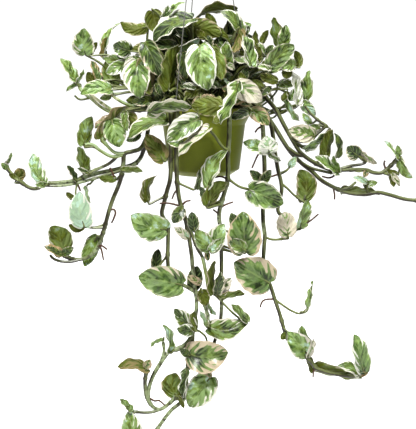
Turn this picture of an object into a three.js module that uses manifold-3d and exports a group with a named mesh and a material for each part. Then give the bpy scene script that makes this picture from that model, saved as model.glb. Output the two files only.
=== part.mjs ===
// Variegated pothos in a round plastic hanging pot: a bushy crown, nine trailing
// stems with their leaves and aerial roots, soil, and a three-strand wire hanger.
// Millimetres, +Z up. The origin is the seat inside the hook, where the hanger rests.
import * as THREE from 'three';
import { mergeVertices } from 'three/addons/utils/BufferGeometryUtils.js';
import Module from 'manifold-3d';

const wasm = await Module();
wasm.setup();

// Pot: [radius, height] down its outside, a 150 mm pot
const RIM_R = 76;
const RIM_Z = 113;
const LIP_FOOT_Z = 98;
const SHOULDER_R = 69;
const SHOULDER_Z = 85;
const CHAMFER_R = 59.5;
const CHAMFER_Z = 9.5;
const FOOT_R = 45;
const WALL = 2.2;
const FLOOR = 3;
const POT_SIDES = 28;

// Soil: top height and the running gap to the pot wall and to the stems
const SOIL_Z = 95;
const GAP = 0.35;
const BORE_GAP = 0.45;
const SHORTEST_EDGE = 0.02;
const ROOT_DEPTH = 20;

// Hanger: strands run from the lip to a collar under the hook
const WIRE_R = 0.9;
const WIRE_HOLE_Z = RIM_Z - 7;
const WIRE_AZIMUTHS = { hanger_wire_front: -36, hanger_wire_right: 84, hanger_wire_back: 204 };
const COLLAR_Z = RIM_Z + 430;
const COLLAR_R = 6.5;
const COLLAR_H = 16;
const COLLAR_BORE = 10;
const STRAND_RING = 3.4;
const HOOK_R = 1.6;
const HOOK_ARC = 13;
const HOOK_STEPS = 8;
const HOOK_NECK = 16;
const HOOK_Z = COLLAR_Z + COLLAR_H + HOOK_NECK;
const SEAT_Z = HOOK_Z + HOOK_ARC - HOOK_R;

// Plant
const VINE_R = 2.3;
const SIDE_STEM_R = 1.6;
const STALK_R = 1.2;
const BLADE_T = 0.9;
const SLIM = 0.6;
const FOLD = 0.25;
const BOW = 0.1;
const LOBE = 0.1;
const WAVE = 0.05;
const CLUMP_R = 34;
const NECK = 2.6;
const DETOUR = 4;
const OVER_LIP = 6;
const SHIFTS = [0, 3, -3, 6, -6, 9, -9, 12, -12];
const SHIFT_COST = 0.02;
const OTHER_NODES = 20;
const NODE_STEP = 2.5;
const SAGGING = 14;
const SMALL_LEAF = 42;
const ROWS = [0, 0.3, 0.68, 1];
const SHORT_ROWS = [0, 0.42, 1];

// View in which the plant was measured: places are [right, down] in pixels of a
// 416 x 429 frame, plus how far the point stands in front of the pot's axis in mm
const VIEW_CENTRE = [208, 214.5];
const FOCAL_PX = 1317;
const PITCH = THREE.MathUtils.degToRad(8);
const EYE = new THREE.Vector3(6.7, -2195.8, 240.3);
const AHEAD = new THREE.Vector3(0, Math.cos(PITCH), -Math.sin(PITCH));
const UPWARD = new THREE.Vector3(0, Math.sin(PITCH), Math.cos(PITCH));
const MM_PER_PX = 2200 / FOCAL_PX;

// Main stems: where each is rooted, [right of the axis, in front of it] in mm, then its route
const VINES = {
  left: {
    soil: [-60, 9],
    route: [[159, 99, 14], [150, 111, 21], [148, 130, 22], [144, 149, 16], [137, 162, 8], [120, 168.5, 4],
      [97, 173.5, 0], [75, 180.5, -4], [60, 182.5, -6], [46, 184, -6], [37, 188.5, -4], [28, 187, -2],
      [16, 178, 0], [9, 171, 0], [6.5, 166, 0], [7.5, 161, 0]],
  },
  front_left: {
    soil: [-39, 44],
    route: [[171, 105, 55], [171, 112, 65], [171, 125, 66], [171, 150, 62], [171, 165, 60], [170, 180, 58],
      [167, 191, 57], [164, 203, 56], [161.8, 213, 55], [164, 219, 54], [168, 226, 54], [168, 240, 54],
      [167.8, 262, 54], [170, 274, 55], [176, 281, 56], [184, 285.5, 56], [191, 289.5, 56],
      [198, 294.5, 56], [203.5, 303, 54], [207, 313, 52], [208.5, 325, 52]],
  },
  front_mid: {
    soil: [-25, 53],
    route: [[177, 106, 63], [176.8, 114, 73], [176.5, 130, 74], [176.3, 150, 72], [176.5, 165, 69],
      [177, 180, 67], [178.5, 195, 66], [181.5, 208, 65], [186, 222, 64], [189, 238, 63], [191.5, 255, 62],
      [192.8, 270, 60], [194.5, 284, 57], [196.3, 298, 56], [196.3, 310, 55], [194.5, 322, 54],
      [193, 332, 53], [192.5, 342, 52], [190, 353, 51], [188, 364, 50], [187, 375, 50], [186.3, 388, 50],
      [184, 399, 50], [179, 404, 50], [172, 409.5, 50], [165, 418, 50], [158, 428, 50], [152, 438, 50],
      [147, 449, 50]],
  },
  front: {
    soil: [29, 51],
    route: [[229, 105, 66], [229.3, 113, 75], [229.3, 125, 76], [228.8, 140, 74], [227.8, 155, 73],
      [228, 168, 71], [227.5, 180, 70], [225.5, 189, 69], [222.5, 199, 68], [219.8, 209, 67],
      [219, 217, 66], [220, 226, 65], [221, 238, 64], [221.3, 250, 62], [221.5, 262, 60],
      [221.5, 275, 58], [221.5, 290, 54], [221.5, 304, 50], [220.5, 320, 44], [216.5, 335, 40],
      [212.5, 350, 38], [210.5, 364, 38], [210, 377, 42]],
  },
  front_right: {
    soil: [55, 22],
    route: [[244, 100, 26], [250, 101, 32], [257, 107, 38], [261, 118, 42], [263, 130, 43], [263.5, 145, 43],
      [264.5, 165, 43], [264.2, 185, 43], [263, 205, 43], [263.2, 222, 43], [264.8, 236, 43],
      [264, 248, 43], [263.6, 262, 43], [266, 275, 43], [270.5, 286, 43], [275, 300, 43], [280, 315, 43],
      [284.5, 331, 43], [288, 340, 43], [296, 349, 43], [305, 356.5, 43], [313, 364, 43],
      [317.5, 369, 43], [330, 373, 43], [345, 375.5, 43], [358, 375.5, 44]],
  },
  right: {
    soil: [58, -3],
    route: [[239, 91, -4], [252, 86, -2], [262, 92, 0], [268, 100, 2], [276, 110, 4], [284, 125, 6],
      [289, 134, 6], [296, 146, 6], [301, 153, 6], [310, 160, 4], [322, 166.5, 2], [334, 170, 0],
      [352, 169.7, 0], [366, 170, 0], [373, 172.5, 0], [381, 173, 0], [387, 169, 0], [393, 163.5, 0],
      [398, 157.5, 0], [399, 152, 0]],
  },
  right_low: {
    soil: [58, 14],
    route: [[248, 98, 17], [257, 104, 18], [265, 113, 14], [271, 122, 12], [277, 131, 10], [283, 141, 8],
      [289, 150, 4], [295, 157, 0], [303, 164.5, -4], [312, 171.5, -6], [321, 180, -6], [331, 186, -6],
      [341, 190.5, -4], [352, 193.5, -2], [366, 194.5, 0], [378, 192.5, 0], [390, 195, 0],
      [404, 199, 0], [416, 200.5, 0], [428, 202, 0], [438, 205, 0]],
  },
};

const NODE_VINES = {
  crown_foliage: [],
  vines_left: ['left'],
  vines_front_left: ['front_left', 'front_mid'],
  vine_front: ['front'],
  vines_front_right: ['front_right'],
  vines_right: ['right', 'right_low'],
};

// Side stems of each node: [radius, route]
const SIDE_STEMS = {
  vines_left: [
    [VINE_R, [[147.5, 136, 21], [141, 148, 26], [132, 151.5, 26], [124.5, 154, 24], [123.3, 164, 22],
      [121.5, 176, 20], [118, 187, 18], [113, 199, 16], [109, 211, 14], [105.5, 224, 12],
      [101.5, 238, 10], [96.5, 249, 10], [89, 256.5, 10], [78, 259.5, 10], [68, 257.5, 10],
      [62.5, 254, 10]]],
    [SIDE_STEM_R, [[83, 258.5, 10], [72, 261.5, 12], [62, 261.5, 13], [54, 259, 12], [50, 255, 10]]],
    [SIDE_STEM_R, [[126, 153.5, 24], [115, 152.5, 26], [107, 145.5, 26], [101.5, 138, 26]]],
    [SIDE_STEM_R, [[123, 155, 24], [112, 156.5, 22], [101, 151, 22], [92, 144.5, 24], [85, 144.5, 26]]],
    [SIDE_STEM_R, [[118, 155.5, 23], [110, 163, 14], [100, 168, 8], [88, 173, 4], [78, 179, -3]]],
  ],
  vines_front_left: [
    [SIDE_STEM_R, [[181, 206.5, 65], [186, 219, 69], [190.5, 230, 70], [195, 243, 70], [200, 252.5, 69],
      [204, 262, 68], [206, 275, 67], [208.5, 290, 65], [214, 294, 64], [221, 297, 63]]],
    [VINE_R, [[192.6, 335, 52.5], [187, 343, 52], [179, 348.5, 52], [171, 350.5, 52], [166, 355, 52],
      [160, 364, 52], [154, 374, 52], [150, 384, 52], [148.3, 394, 52], [149.5, 402, 52],
      [154.5, 408, 52], [161, 409, 52], [168, 404.5, 52], [176, 397, 53]]],
    [VINE_R, [[151, 405, 52], [146.5, 396, 54], [145, 382, 55], [147, 369, 56]]],
    [SIDE_STEM_R, [[163, 408.5, 52], [152, 412, 53], [142, 412.5, 54], [131.5, 411, 54]]],
    [SIDE_STEM_R, [[161, 362, 52], [164, 351, 54], [163, 341, 54]]],
    [STALK_R, [[194, 330, 53], [199, 331, 50], [205, 336, 48], [207, 341, 48]]],
  ],
  vine_front: [
  ],
  vines_front_right: [
    [VINE_R, [[255, 105.5, 36], [265, 112, 33], [271, 125, 28], [273.5, 140, 25], [275.5, 155, 23],
      [278, 170, 22], [281, 182, 22], [281.5, 192, 22], [279, 203, 22], [278, 211, 22], [283, 217, 22],
      [291, 222.5, 22], [300.5, 226.5, 22]]],
    [STALK_R, [[281, 183, 22], [288, 189, 22], [294, 195, 22], [301, 199, 24]]],
    [STALK_R, [[264.8, 237, 43], [272, 239.5, 41], [281, 239, 36], [288, 235.5, 30]]],
    [STALK_R, [[275.5, 300, 43], [284, 306, 43], [292, 311, 43], [300, 313.5, 43], [307, 309, 43]]],
    [STALK_R, [[279, 174, 22], [286, 171, 22], [290, 166.5, 22]]],
  ],
  vines_right: [
    [VINE_R, [[288, 148.5, 5], [297, 154.5, 5.5], [304, 155.8, 6]]],
    [SIDE_STEM_R, [[299, 161, -2], [310, 167.5, -2], [322, 171, -1], [332, 172.8, 0], [339, 170, 0]]],
    [SIDE_STEM_R, [[338, 169.5, 0], [350, 166, 0], [361, 164.3, 0], [365.5, 161.5, 1], [361, 158, 2],
      [357.5, 156, 2]]],
    [SIDE_STEM_R, [[340, 190, -4], [349, 187.5, 0], [356, 182, 2]]],
    [SIDE_STEM_R, [[290, 136, 6], [296, 140, 10], [304, 141.5, 12], [312, 138, 12], [320, 131.5, 12],
      [325, 125.5, 12], [319, 121, 12], [311, 114, 12], [305, 106, 12]]],
    [SIDE_STEM_R, [[293, 141, 6], [299, 145, 8], [306, 146.5, 9], [316, 141.5, 10], [325, 134, 10],
      [330.5, 128, 10]]],
    [STALK_R, [[368, 194.5, 0], [366.5, 188, 2], [366, 182, 2]]],
    [STALK_R, [[398, 158, 0], [401.5, 163, 1], [401, 170, 2], [397, 173.5, 2], [387, 173.5, 2]]],
    [STALK_R, [[383, 172.5, 0], [388, 174.5, 1], [392, 174.5, 1]]],
  ],
  crown_foliage: [
    [SIDE_STEM_R, [[190, 100, 0], [172, 88, -6], [158, 91, -6], [146, 98, -2], [136, 104.5, 6],
      [123, 108, 12], [112, 112, 14], [101, 107, 15], [91, 98.5, 16], [83, 92.5, 16], [79, 86, 16],
      [76.5, 80.5, 16]]],
    [STALK_R, [[113, 111, 15], [103, 104, 18], [92, 95.5, 20], [88, 91, 24]]],
    [STALK_R, [[90, 98, 16], [80, 99.5, 17], [74.5, 95.5, 18]]],
  ],
};

// Leaves: [base right, base down, tip right, tip down, width seen in px, base depth, tip depth,
// turn, look, bow]. turn is the side it rolls to, and bow, where given, how far it arches.
const LEAVES = {
  vines_left: [
    [40, 187, 33.5, 153, 16, -4, 8, 1, 'pale'],
    [17, 179.5, 24, 169.5, 9, 0, 8, 1, 'tan'],
    [75.5, 179.5, 67.5, 165.5, 6, -3, 6, 1, 'dark'],
    [88, 172.5, 79, 146, 11, 3, 14, -1, 'mix'],
    [85.5, 144.5, 91, 116, 15, 26, 30, 1, 'under'],
    [101.5, 138, 125, 105, 14, 26, 34, 1, 'under'],
    [109, 126, 120, 147.5, 16, 29, 36, -1, 'under'],
    [115, 178.5, 99, 178, 8, 10, 12, 1, 'under'],
    [123, 170.5, 143, 170.5, 7, 21, 26, 1, 'under'],
    [62.5, 254, 51, 226.5, 21, 10, 20, 1, 'under'],
    [61.5, 254, 44.5, 246, 9, 10, 18, 1, 'tan'],
    [98.5, 242, 85.5, 266.5, 14, 6, 6, 1, 'under'],
    [84.5, 225, 80, 192, 20, 14, 22, 1, 'white'],
    [83.5, 226, 69, 226.5, 8, 14, 18, 1, 'under'],
    [86.5, 187, 90, 203.5, 4, 4, 4, 1, 'pale'],
  ],
  vines_front_left: [
    [165.5, 159.5, 147, 134.5, 19, 50, 44, 1, 'under'],
    [149.5, 200.5, 155.5, 175.5, 9, 58, 62, 1, 'under'],
    [180, 208, 174.5, 225, 10, 68, 73, 1, 'dark'],
    [186, 237, 175, 227, 7, 65, 70, 1, 'tan'],
    [192.5, 229.5, 190.5, 213, 8, 67, 63, 1, 'under'],
    [167, 226, 131, 215.5, 26, 56, 66, 1, 'green'],
    [158, 267, 158, 250, 11, 48, 46, 1, 'under'],
    [180.5, 284.5, 138.5, 276.5, 30, 57, 66, 1, 'green'],
    [193.5, 288, 197, 266, 16, 54, 46, 1, 'dark'],
    [199, 283, 190, 272, 7, 58, 60, 1, 'tan'],
    [213, 292.5, 213, 260, 7, 66, 72, 1, 'under'],
    [217, 293, 222, 272, 12, 66, 72, 1, 'dark'],
    [218, 293, 230, 281, 9, 66, 72, -1, 'tan'],
    [202, 291, 206, 306, 13, 62, 64, 1, 'under'],
    [222, 298, 245, 293, 7, 63, 60, 1, 'under'],
    [206, 299, 216, 316, 5, 58, 58, 1, 'pale'],
    [209, 327, 248, 322, 20, 53, 60, 1, 'green'],
    [246, 322, 231.5, 304, 7, 59, 56, 1, 'green'],
    [192, 328, 174.5, 309, 14, 56, 62, 1, 'mix'],
    [192, 331, 177, 329, 13, 56, 62, -1, 'mix'],
    [195, 329, 193.5, 311, 9, 60, 63, 1, 'under'],
    [206.5, 325, 200, 311, 6, 54, 54, 1, 'pale'],
    [190, 354.5, 228, 352, 26, 54, 64, 1, 'tan'],
    [190, 356, 212, 377, 16, 54, 60, -1, 'cream'],
    [187, 371, 182, 398, 6, 52, 54, 1, 'under'],
    [177, 396, 174, 372.5, 23, 54, 58, 1, 'under'],
    [147, 369, 117.5, 367.5, 11, 56, 62, 1, 'under', 0.2],
    [168.5, 351, 163, 325, 6, 53, 56, 1, 'pale', 0.15],
    [163, 341.5, 150, 347.5, 4, 54, 54, 1, 'pale', 0.2],
    [131.5, 411, 120, 399, 7, 54, 57, 1, 'dark'],
    [131.5, 411.5, 127, 438, 24, 54, 60, 1, 'mix'],
    [196, 188, 200, 173, 6, 68, 68, 1, 'green'],
    [209.5, 249.5, 223.5, 224.5, 19, 73, 78, 1, 'green'],
    [209, 249.5, 196, 232, 13, 73, 77, -1, 'mix'],
    [210, 250, 220.5, 239.5, 8, 76, 79, 1, 'pale'],
    [154, 436, 140, 446, 12, 50, 54, 1, 'mix'],
    [147, 449, 145, 470, 14, 50, 56, 1, 'green'],
  ],
  vine_front: [
    [208, 129.5, 177.5, 155, 9, 90, 96, 1, 'cream'],
    [221.5, 150.5, 203, 184, 14, 78, 84, 1, 'mix'],
    [208, 205, 226.5, 181.5, 14, 76, 80, 1, 'under'],
    [208, 205, 199.5, 187, 12, 76, 80, -1, 'dark'],
    [250, 188, 283.5, 203.5, 23, 62, 68, 1, 'green'],
    [245.5, 249.5, 232, 216, 20, 64, 72, 1, 'mix'],
    [246, 249, 262, 220, 19, 64, 72, -1, 'tan'],
    [245, 249.5, 231.5, 243, 11, 64, 70, 1, 'mix'],
    [210, 377, 190, 405, 24, 43, 46, 1, 'green'],
  ],
  vines_front_right: [
    [252, 111, 268, 125, 12, 46, 53, 1, 'tan'],
    [267, 150, 243.5, 142, 11, 48, 54, 1, 'pale'],
    [269, 151.5, 267, 136, 20, 47, 53, 1, 'white'],
    [268, 151.5, 281, 161.5, 6, 46, 46, 1, 'mix'],
    [262, 182, 250, 170.5, 10, 46, 52, 1, 'dark'],
    [262, 182, 271, 170, 10, 46, 52, -1, 'dark'],
    [288, 235.5, 284.5, 211.5, 20, 30, 12, 1, 'white'],
    [302, 198.5, 306, 169.5, 22, 24, 30, 1, 'under'],
    [300.5, 226, 308, 200, 12, 22, 28, 1, 'mix'],
    [302, 227, 290, 234, 5, 22, 24, 1, 'pale'],
    [267, 281, 232.5, 264, 30, 47, 57, 1, 'green'],
    [266, 283, 253, 293, 9, 45, 48, 1, 'white'],
    [307, 309.5, 311.5, 280.5, 5, 43, 43, -1, 'pale', 0.12],
    [289, 337, 311.5, 373, 18, 46, 52, 1, 'green'],
    [303, 353, 299.5, 326, 14, 45, 52, -1, 'pale'],
    [307, 357, 313.5, 338.5, 6, 45, 46, 1, 'cream'],
    [318, 369.5, 362, 376.5, 11, 44, 50, 1, 'under'],
    [357, 375, 338, 365, 8, 45, 50, 1, 'mix'],
    [360, 372, 353.5, 336, 15, 45, 50, 1, 'dark'],
    [358, 375, 370, 369.5, 8, 44, 46, 1, 'tan'],
  ],
  vines_right: [
    [313, 137, 289.5, 130, 16, 13, 20, 1, 'mix'],
    [306, 147, 325, 137.5, 8, 9, 12, 1, 'green'],
    [326.5, 157, 330.5, 129, 13, 6, 12, 1, 'under'],
    [337, 157, 334.5, 134, 7, 3, 8, 1, 'green'],
    [338, 173.5, 315.5, 156, 12, 4, 14, 1, 'mix'],
    [337.5, 171, 332.5, 156, 8, 4, 12, -1, 'mix'],
    [357.5, 156, 347, 148.5, 14, 2, 8, 1, 'dark'],
    [361, 157, 376, 164.5, 5, 2, 2, 1, 'mix'],
    [397.5, 158, 385, 140.5, 4, 0, 3, 1, 'pale'],
    [401, 161, 411.5, 178, 6, 1, 5, 1, 'mix'],
    [392, 174.5, 400, 186, 6, 1, 4, -1, 'cream'],
    [366, 182, 353.5, 177, 7, 2, 5, 1, 'pale'],
    [344, 191.5, 380, 193.5, 7, -3, 3, 1, 'under'],
    [426, 202, 433, 190, 10, 0, 5, 1, 'mix'],
    [438, 205, 452, 212, 10, 0, 6, 1, 'green'],
  ],
  crown_foliage: [
    [89.5, 53, 83, 28.5, 25, -5, 5, 1, 'green'],
    [105, 56, 119, 22.5, 7, -15, -12, 1, 'mix'],
    [138.5, 33.5, 120.5, 22.5, 12, -8, 0, 1, 'under'],
    [158, 29, 143.5, 14.5, 14, 0, 8, 1, 'under'],
    [128, 53, 113.5, 48, 16, 12, 22, 1, 'mix'],
    [123, 66, 108.5, 57, 9, 16, 24, 1, 'green'],
    [123, 66.5, 109.5, 71, 12, 16, 24, -1, 'green'],
    [140, 63, 125, 60, 13, 24, 34, 1, 'bright'],
    [139, 62, 137, 98, 22, 34, 46, 1, 'mix'],
    [141, 61, 146, 93, 18, 30, 40, -1, 'green'],
    [163, 50, 143, 61, 23, 26, 34, 1, 'mix'],
    [146, 45, 131.5, 50.5, 9, 8, 10, 1, 'under'],
    [76, 80, 61, 58.5, 12, 16, 22, 1, 'mix'],
    [77, 81, 84, 69.5, 4, 16, 16, 1, 'pale'],
    [77.5, 84, 66, 91, 5, 16, 18, 1, 'under'],
    [109.5, 88.5, 81, 93, 16, 22, 32, 1, 'bright'],
    [96, 84, 87, 72.5, 11, 8, 6, 1, 'under'],
    [98, 79, 91.5, 60.5, 8, 6, 4, 1, 'tan'],
    [114, 87, 107, 58, 19, 0, -6, 1, 'dark'],
    [150, 100, 132, 102, 11, 30, 38, 1, 'dark'],
    [163, 21, 169, 6, 5, 0, 2, 1, 'green'],
    [170, 17, 185, 2, 5, 2, 2, 1, 'under', 0.25],
    [190, 20, 152.5, 40.5, 13, 26, 33, 1, 'mix'],
    [233.5, 10.5, 193.5, 20, 6, 4, 6, -1, 'under', 0.2],
    [214, 25, 206, 13, 9, 0, 0, 1, 'under'],
    [220, 33, 189.5, 27, 17, 20, 28, 1, 'under'],
    [241, 31, 223.5, 11, 10, 14, 20, 1, 'pale'],
    [238, 33, 231, 54, 9, 20, 26, 1, 'under'],
    [235, 43, 218.5, 27.5, 6, 8, 10, 1, 'under'],
    [229, 65, 227, 42, 13, 26, 34, 1, 'green'],
    [192, 52, 208.5, 89.5, 23, 56, 66, 1, 'mix'],
    [211, 49, 221.5, 80, 18, 50, 60, -1, 'tan'],
    [211, 72, 208, 88, 7, 57, 60, 1, 'white'],
    [168.5, 87.5, 177, 44.5, 15, 44, 38, 1, 'under'],
    [175, 46, 152, 44.5, 11, 18, 22, 1, 'dark'],
    [179.5, 50, 200, 39.5, 8, 32, 28, 1, 'pale'],
    [183, 54, 186, 79, 12, 28, 32, 1, 'dark'],
    [198.5, 89.5, 184, 96, 12, 62, 68, 1, 'under'],
    [151, 113.5, 191.5, 108, 13, 74, 80, 1, 'mix'],
    [166, 119, 128, 137, 16, 46, 54, 1, 'mix'],
    [197, 120, 168, 143, 21, 82, 88, 1, 'mix'],
    [181, 143, 167, 141, 10, 84, 88, -1, 'green'],
    [109, 118, 94.5, 128, 8, 12, 14, 1, 'tan'],
    [125, 112.5, 127, 131, 8, 44, 50, 1, 'bright'],
    [127, 113, 140.5, 125, 9, 42, 46, 1, 'dark'],
    [139, 134, 126.5, 141, 10, 42, 46, 1, 'dark'],
    [222, 107, 191.5, 109.5, 16, 72, 80, 1, 'dark'],
    [214, 99, 200, 97, 7, 62, 68, 1, 'tan'],
    [236, 86, 219.5, 123, 14, 70, 90, 1, 'mix'],
    [227, 108, 213, 123.5, 9, 84, 90, 1, 'under'],
    [235, 86, 262, 101, 21, 56, 64, 1, 'cream'],
    [238, 90, 250, 103, 9, 50, 54, 1, 'green'],
    [249, 111.5, 231, 118.5, 10, 62, 68, 1, 'dark'],
    [281, 45.5, 274.5, 17, 14, -6, -2, 1, 'under'],
    [283, 45, 287, 26, 11, -6, -2, -1, 'green'],
    [269.5, 68, 294.5, 46, 18, 24, 32, 1, 'green'],
    [297, 66.5, 295, 51, 8, 8, 8, 1, 'under'],
    [294, 68.5, 280.5, 64.5, 11, 18, 22, 1, 'mix'],
    [279.5, 84.5, 294, 84.5, 9, 2, 6, 1, 'under'],
    [304, 102, 308.5, 70.5, 14, -8, -4, 1, 'green'],
    [294.5, 105, 300, 88, 10, 4, 8, 1, 'white'],
    [303, 103.5, 315.5, 116, 9, -8, -6, 1, 'green'],
    [291, 104.5, 297, 121, 9, 4, 0, 1, 'bright'],
    [258, 47, 255, 30.5, 6, 4, 4, 1, 'under'],
    [254, 64, 258, 49.5, 11, 18, 20, 1, 'green'],
    [248, 64, 244, 38, 12, 30, 34, 1, 'mix'],
    [247, 61, 239, 50, 10, 20, 22, 1, 'under'],
    [249, 64, 230, 60, 8, 36, 40, 1, 'mix'],
    [276, 79, 263, 73, 9, 16, 20, 1, 'under'],
    [270, 69, 257, 66, 6, 26, 28, 1, 'cream'],
  ],
};

// Crown stalks that the view shows, by the place of their leaf's base: the route up to the base
const STALK_ROUTES = {
  '89.5,53': [[122, 84, -4], [108, 69.5, -6], [97, 61, -6]],
  '105,56': [[152, 84, -6], [124, 82, -10], [106, 68, -14]],
  '138.5,33.5': [[160, 70, -6], [146, 48, -8]],
  '109.5,88.5': [[150, 92, 12], [131, 88.5, 18]],
  '110,96.5': [[150, 96, 14], [130, 92.5, 18]],
  '279.5,84.5': [[243, 98, -16], [258, 106, -12], [268, 101, -10], [277, 90.5, -4]],
  '304,102': [[243, 99, -20], [262, 112, -14], [278, 108, -12], [292, 106, -10]],
  '303,103.5': [[243, 100, -24], [262, 114, -17], [280, 111, -15], [295, 108, -12]],
  '291,104.5': [[243, 96, -12], [266, 92, -10], [279, 90, -6], [286, 97, 0]],
  '290,99': [[243, 101, -28], [270, 118, -16], [281, 108, -10]],
  '294.5,105': [[243, 102, -32], [276, 113, -16], [288, 110, -6]],
};

// Leaves at the back and inside the crown follow a rule instead of a list
const BACK_LEAVES = 16;
const INNER_LEAVES = 4;

// A point of the view, brought to its place beside the pot
function spot([right, down, near]) {
  const ray = AHEAD.clone();
  ray.x += (right - VIEW_CENTRE[0]) / FOCAL_PX;
  ray.addScaledVector(UPWARD, (VIEW_CENTRE[1] - down) / FOCAL_PX);
  return EYE.clone().addScaledVector(ray, (-near - EYE.y) / ray.y);
}

// A closed three.js geometry as a solid that can be joined and cut
function solidOf(geometry) {
  const bare = geometry.clone();
  bare.deleteAttribute('normal');
  bare.deleteAttribute('uv');
  const merged = mergeVertices(bare, 1e-4);
  const triVerts = Uint32Array.from(merged.index.array);
  const vertProperties = Float32Array.from(merged.attributes.position.array);
  const mesh = new wasm.Mesh({ numProp: 3, vertProperties, triVerts, tolerance: SHORTEST_EDGE });
  return new wasm.Manifold(mesh);
}

function geometryOf(solid) {
  const mesh = solid.getMesh();
  const geometry = new THREE.BufferGeometry();
  geometry.setAttribute('position', new THREE.BufferAttribute(Float32Array.from(mesh.vertProperties), 3));
  geometry.setIndex(Array.from(mesh.triVerts));
  return geometry;
}

// The solids as one body: scraps are dropped, and hollows that the joining sealed are filled
function joined(solids) {
  const bodies = solids.reduce((whole, solid) => whole.add(solid)).decompose();
  return bodies.reduce((largest, body) => (body.volume() > largest.volume() ? body : largest));
}

// What is placed already, so that a new leaf can be set clear of it
const standing = [];

function place(node, solid) {
  const { min, max } = solid.boundingBox();
  standing.push({ node, solid, box: new THREE.Box3(new THREE.Vector3(...min), new THREE.Vector3(...max)) });
  return solid;
}

// How much of a solid lies inside others: in every node, or only in other nodes than its own
function crossing(solid, ownNode = null) {
  const { min, max } = solid.boundingBox();
  const box = new THREE.Box3(new THREE.Vector3(...min), new THREE.Vector3(...max));
  return standing
    .filter((item) => item.node !== ownNode && item.box.intersectsBox(box))
    .reduce((sum, item) => sum + solid.intersect(item.solid).volume(), 0);
}

// Tries a leaf at several depths and keeps the one that is clearest of the rest
function clearest(node, leafAt) {
  let best = null;
  for (const shift of SHIFTS) {
    const { blade, whole } = leafAt(shift);
    const score = crossing(blade) + OTHER_NODES * crossing(whole, node) + SHIFT_COST * Math.abs(shift);
    if (best === null || score < best.score) {
      best = { score, whole };
    }
    if (score <= SHIFT_COST * Math.abs(shift)) {
      break;
    }
  }
  return place(node, best.whole);
}

// A route that has one section of its tube at each of its points
class Route extends THREE.Curve {
  constructor(points) {
    super();
    this.points = points;
  }

  getPoint(t, target = new THREE.Vector3()) {
    const place = t * (this.points.length - 1);
    const first = Math.min(Math.floor(place), this.points.length - 2);
    return target.copy(this.points[first]).lerp(this.points[first + 1], place - first);
  }

  getPointAt(t, target) {
    return this.getPoint(t, target);
  }

  getTangentAt(t, target) {
    return this.getTangent(t, target);
  }
}

function tube(points, radius, sides) {
  const corners = Array.from({ length: sides }, (_, i) => {
    const angle = (2 * Math.PI * i) / sides;
    return new THREE.Vector2(radius * Math.cos(angle), radius * Math.sin(angle));
  });
  const settings = { steps: points.length - 1, extrudePath: new Route(points), bevelEnabled: false };
  return solidOf(new THREE.ExtrudeGeometry(new THREE.Shape(corners), settings));
}

function lathe(profile, sides = POT_SIDES) {
  const outline = profile.map(([r, z]) => new THREE.Vector2(r, z));
  return solidOf(new THREE.LatheGeometry(outline, sides).rotateX(Math.PI / 2));
}

function post(radius, from, to, sides = 10) {
  const height = to.distanceTo(from);
  const turn = new THREE.Quaternion().setFromUnitVectors(
    new THREE.Vector3(0, 1, 0), to.clone().sub(from).normalize());
  const cylinder = new THREE.CylinderGeometry(radius, radius, height, sides);
  cylinder.applyQuaternion(turn);
  cylinder.translate(...from.clone().add(to).multiplyScalar(0.5).toArray());
  return solidOf(cylinder);
}

// Half-width of a leaf along its length, as a share of its widest half
function outline(t) {
  return 1.98 * (t + 0.012) ** 0.35 * (1 - t) ** 0.75;
}

// Frame of a leaf whose width, seen from the eye, is the one given
function leafFrame([baseX, baseY, tipX, tipY, seenPx, baseNear, tipNear, turn, look, bow = BOW]) {
  const base = spot([baseX, baseY, baseNear]);
  const along = spot([tipX, tipY, tipNear]).sub(base);
  const length = along.length();
  along.normalize();
  const seen = seenPx * MM_PER_PX;
  const width = Math.max(seen, SLIM * length);
  const roll = turn * Math.acos(seen / width);
  const toEye = EYE.clone().sub(base).normalize();
  const facing = toEye.addScaledVector(along, -toEye.dot(along)).normalize();
  const across = along.clone().cross(facing);
  const normal = facing.clone().multiplyScalar(Math.cos(roll)).addScaledVector(across, Math.sin(roll));
  if (look === 'under') {
    normal.negate();
  }
  return { base, along, normal, across: along.clone().cross(normal), length, width, bow };
}

// Point of a leaf's middle surface: side from -1 to 1, t from its base to its tip
function leafPoint(leaf, side, t) {
  const x = side * 0.5 * leaf.width * outline(t);
  const y = leaf.length * (t - LOBE * Math.abs(side) * (1 - t) ** 3);
  const ripple = WAVE * leaf.width * side * Math.sin(2 * Math.PI * (1.5 * t + 0.1));
  const z = FOLD * Math.abs(x) + 4 * leaf.bow * leaf.length * t * (1 - t) + ripple;
  return leaf.base.clone()
    .addScaledVector(leaf.across, x)
    .addScaledVector(leaf.along, y)
    .addScaledVector(leaf.normal, z);
}

// Even shares between 0 and 1 that never repeat
function share(index, step) {
  return (index * step) % 1;
}

// Three corners round each point of a stalk, in line with the leaf that it carries
function stalkRings(leaf, points) {
  const last = points.length - 1;
  let upright = leaf.normal;
  const rings = [];
  for (let i = last; i >= 0; i -= 1) {
    const heading = points[Math.min(i + 1, last)].clone().sub(points[Math.max(i - 1, 0)]).normalize();
    upright = upright.clone().addScaledVector(heading, -upright.dot(heading)).normalize();
    const beside = heading.clone().cross(upright);
    rings.unshift([90, -30, 210].map((angle) => {
      const turn = THREE.MathUtils.degToRad(angle);
      return points[i].clone()
        .addScaledVector(beside, STALK_R * Math.cos(turn))
        .addScaledVector(upright, STALK_R * Math.sin(turn));
    }));
  }
  return rings;
}

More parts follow.
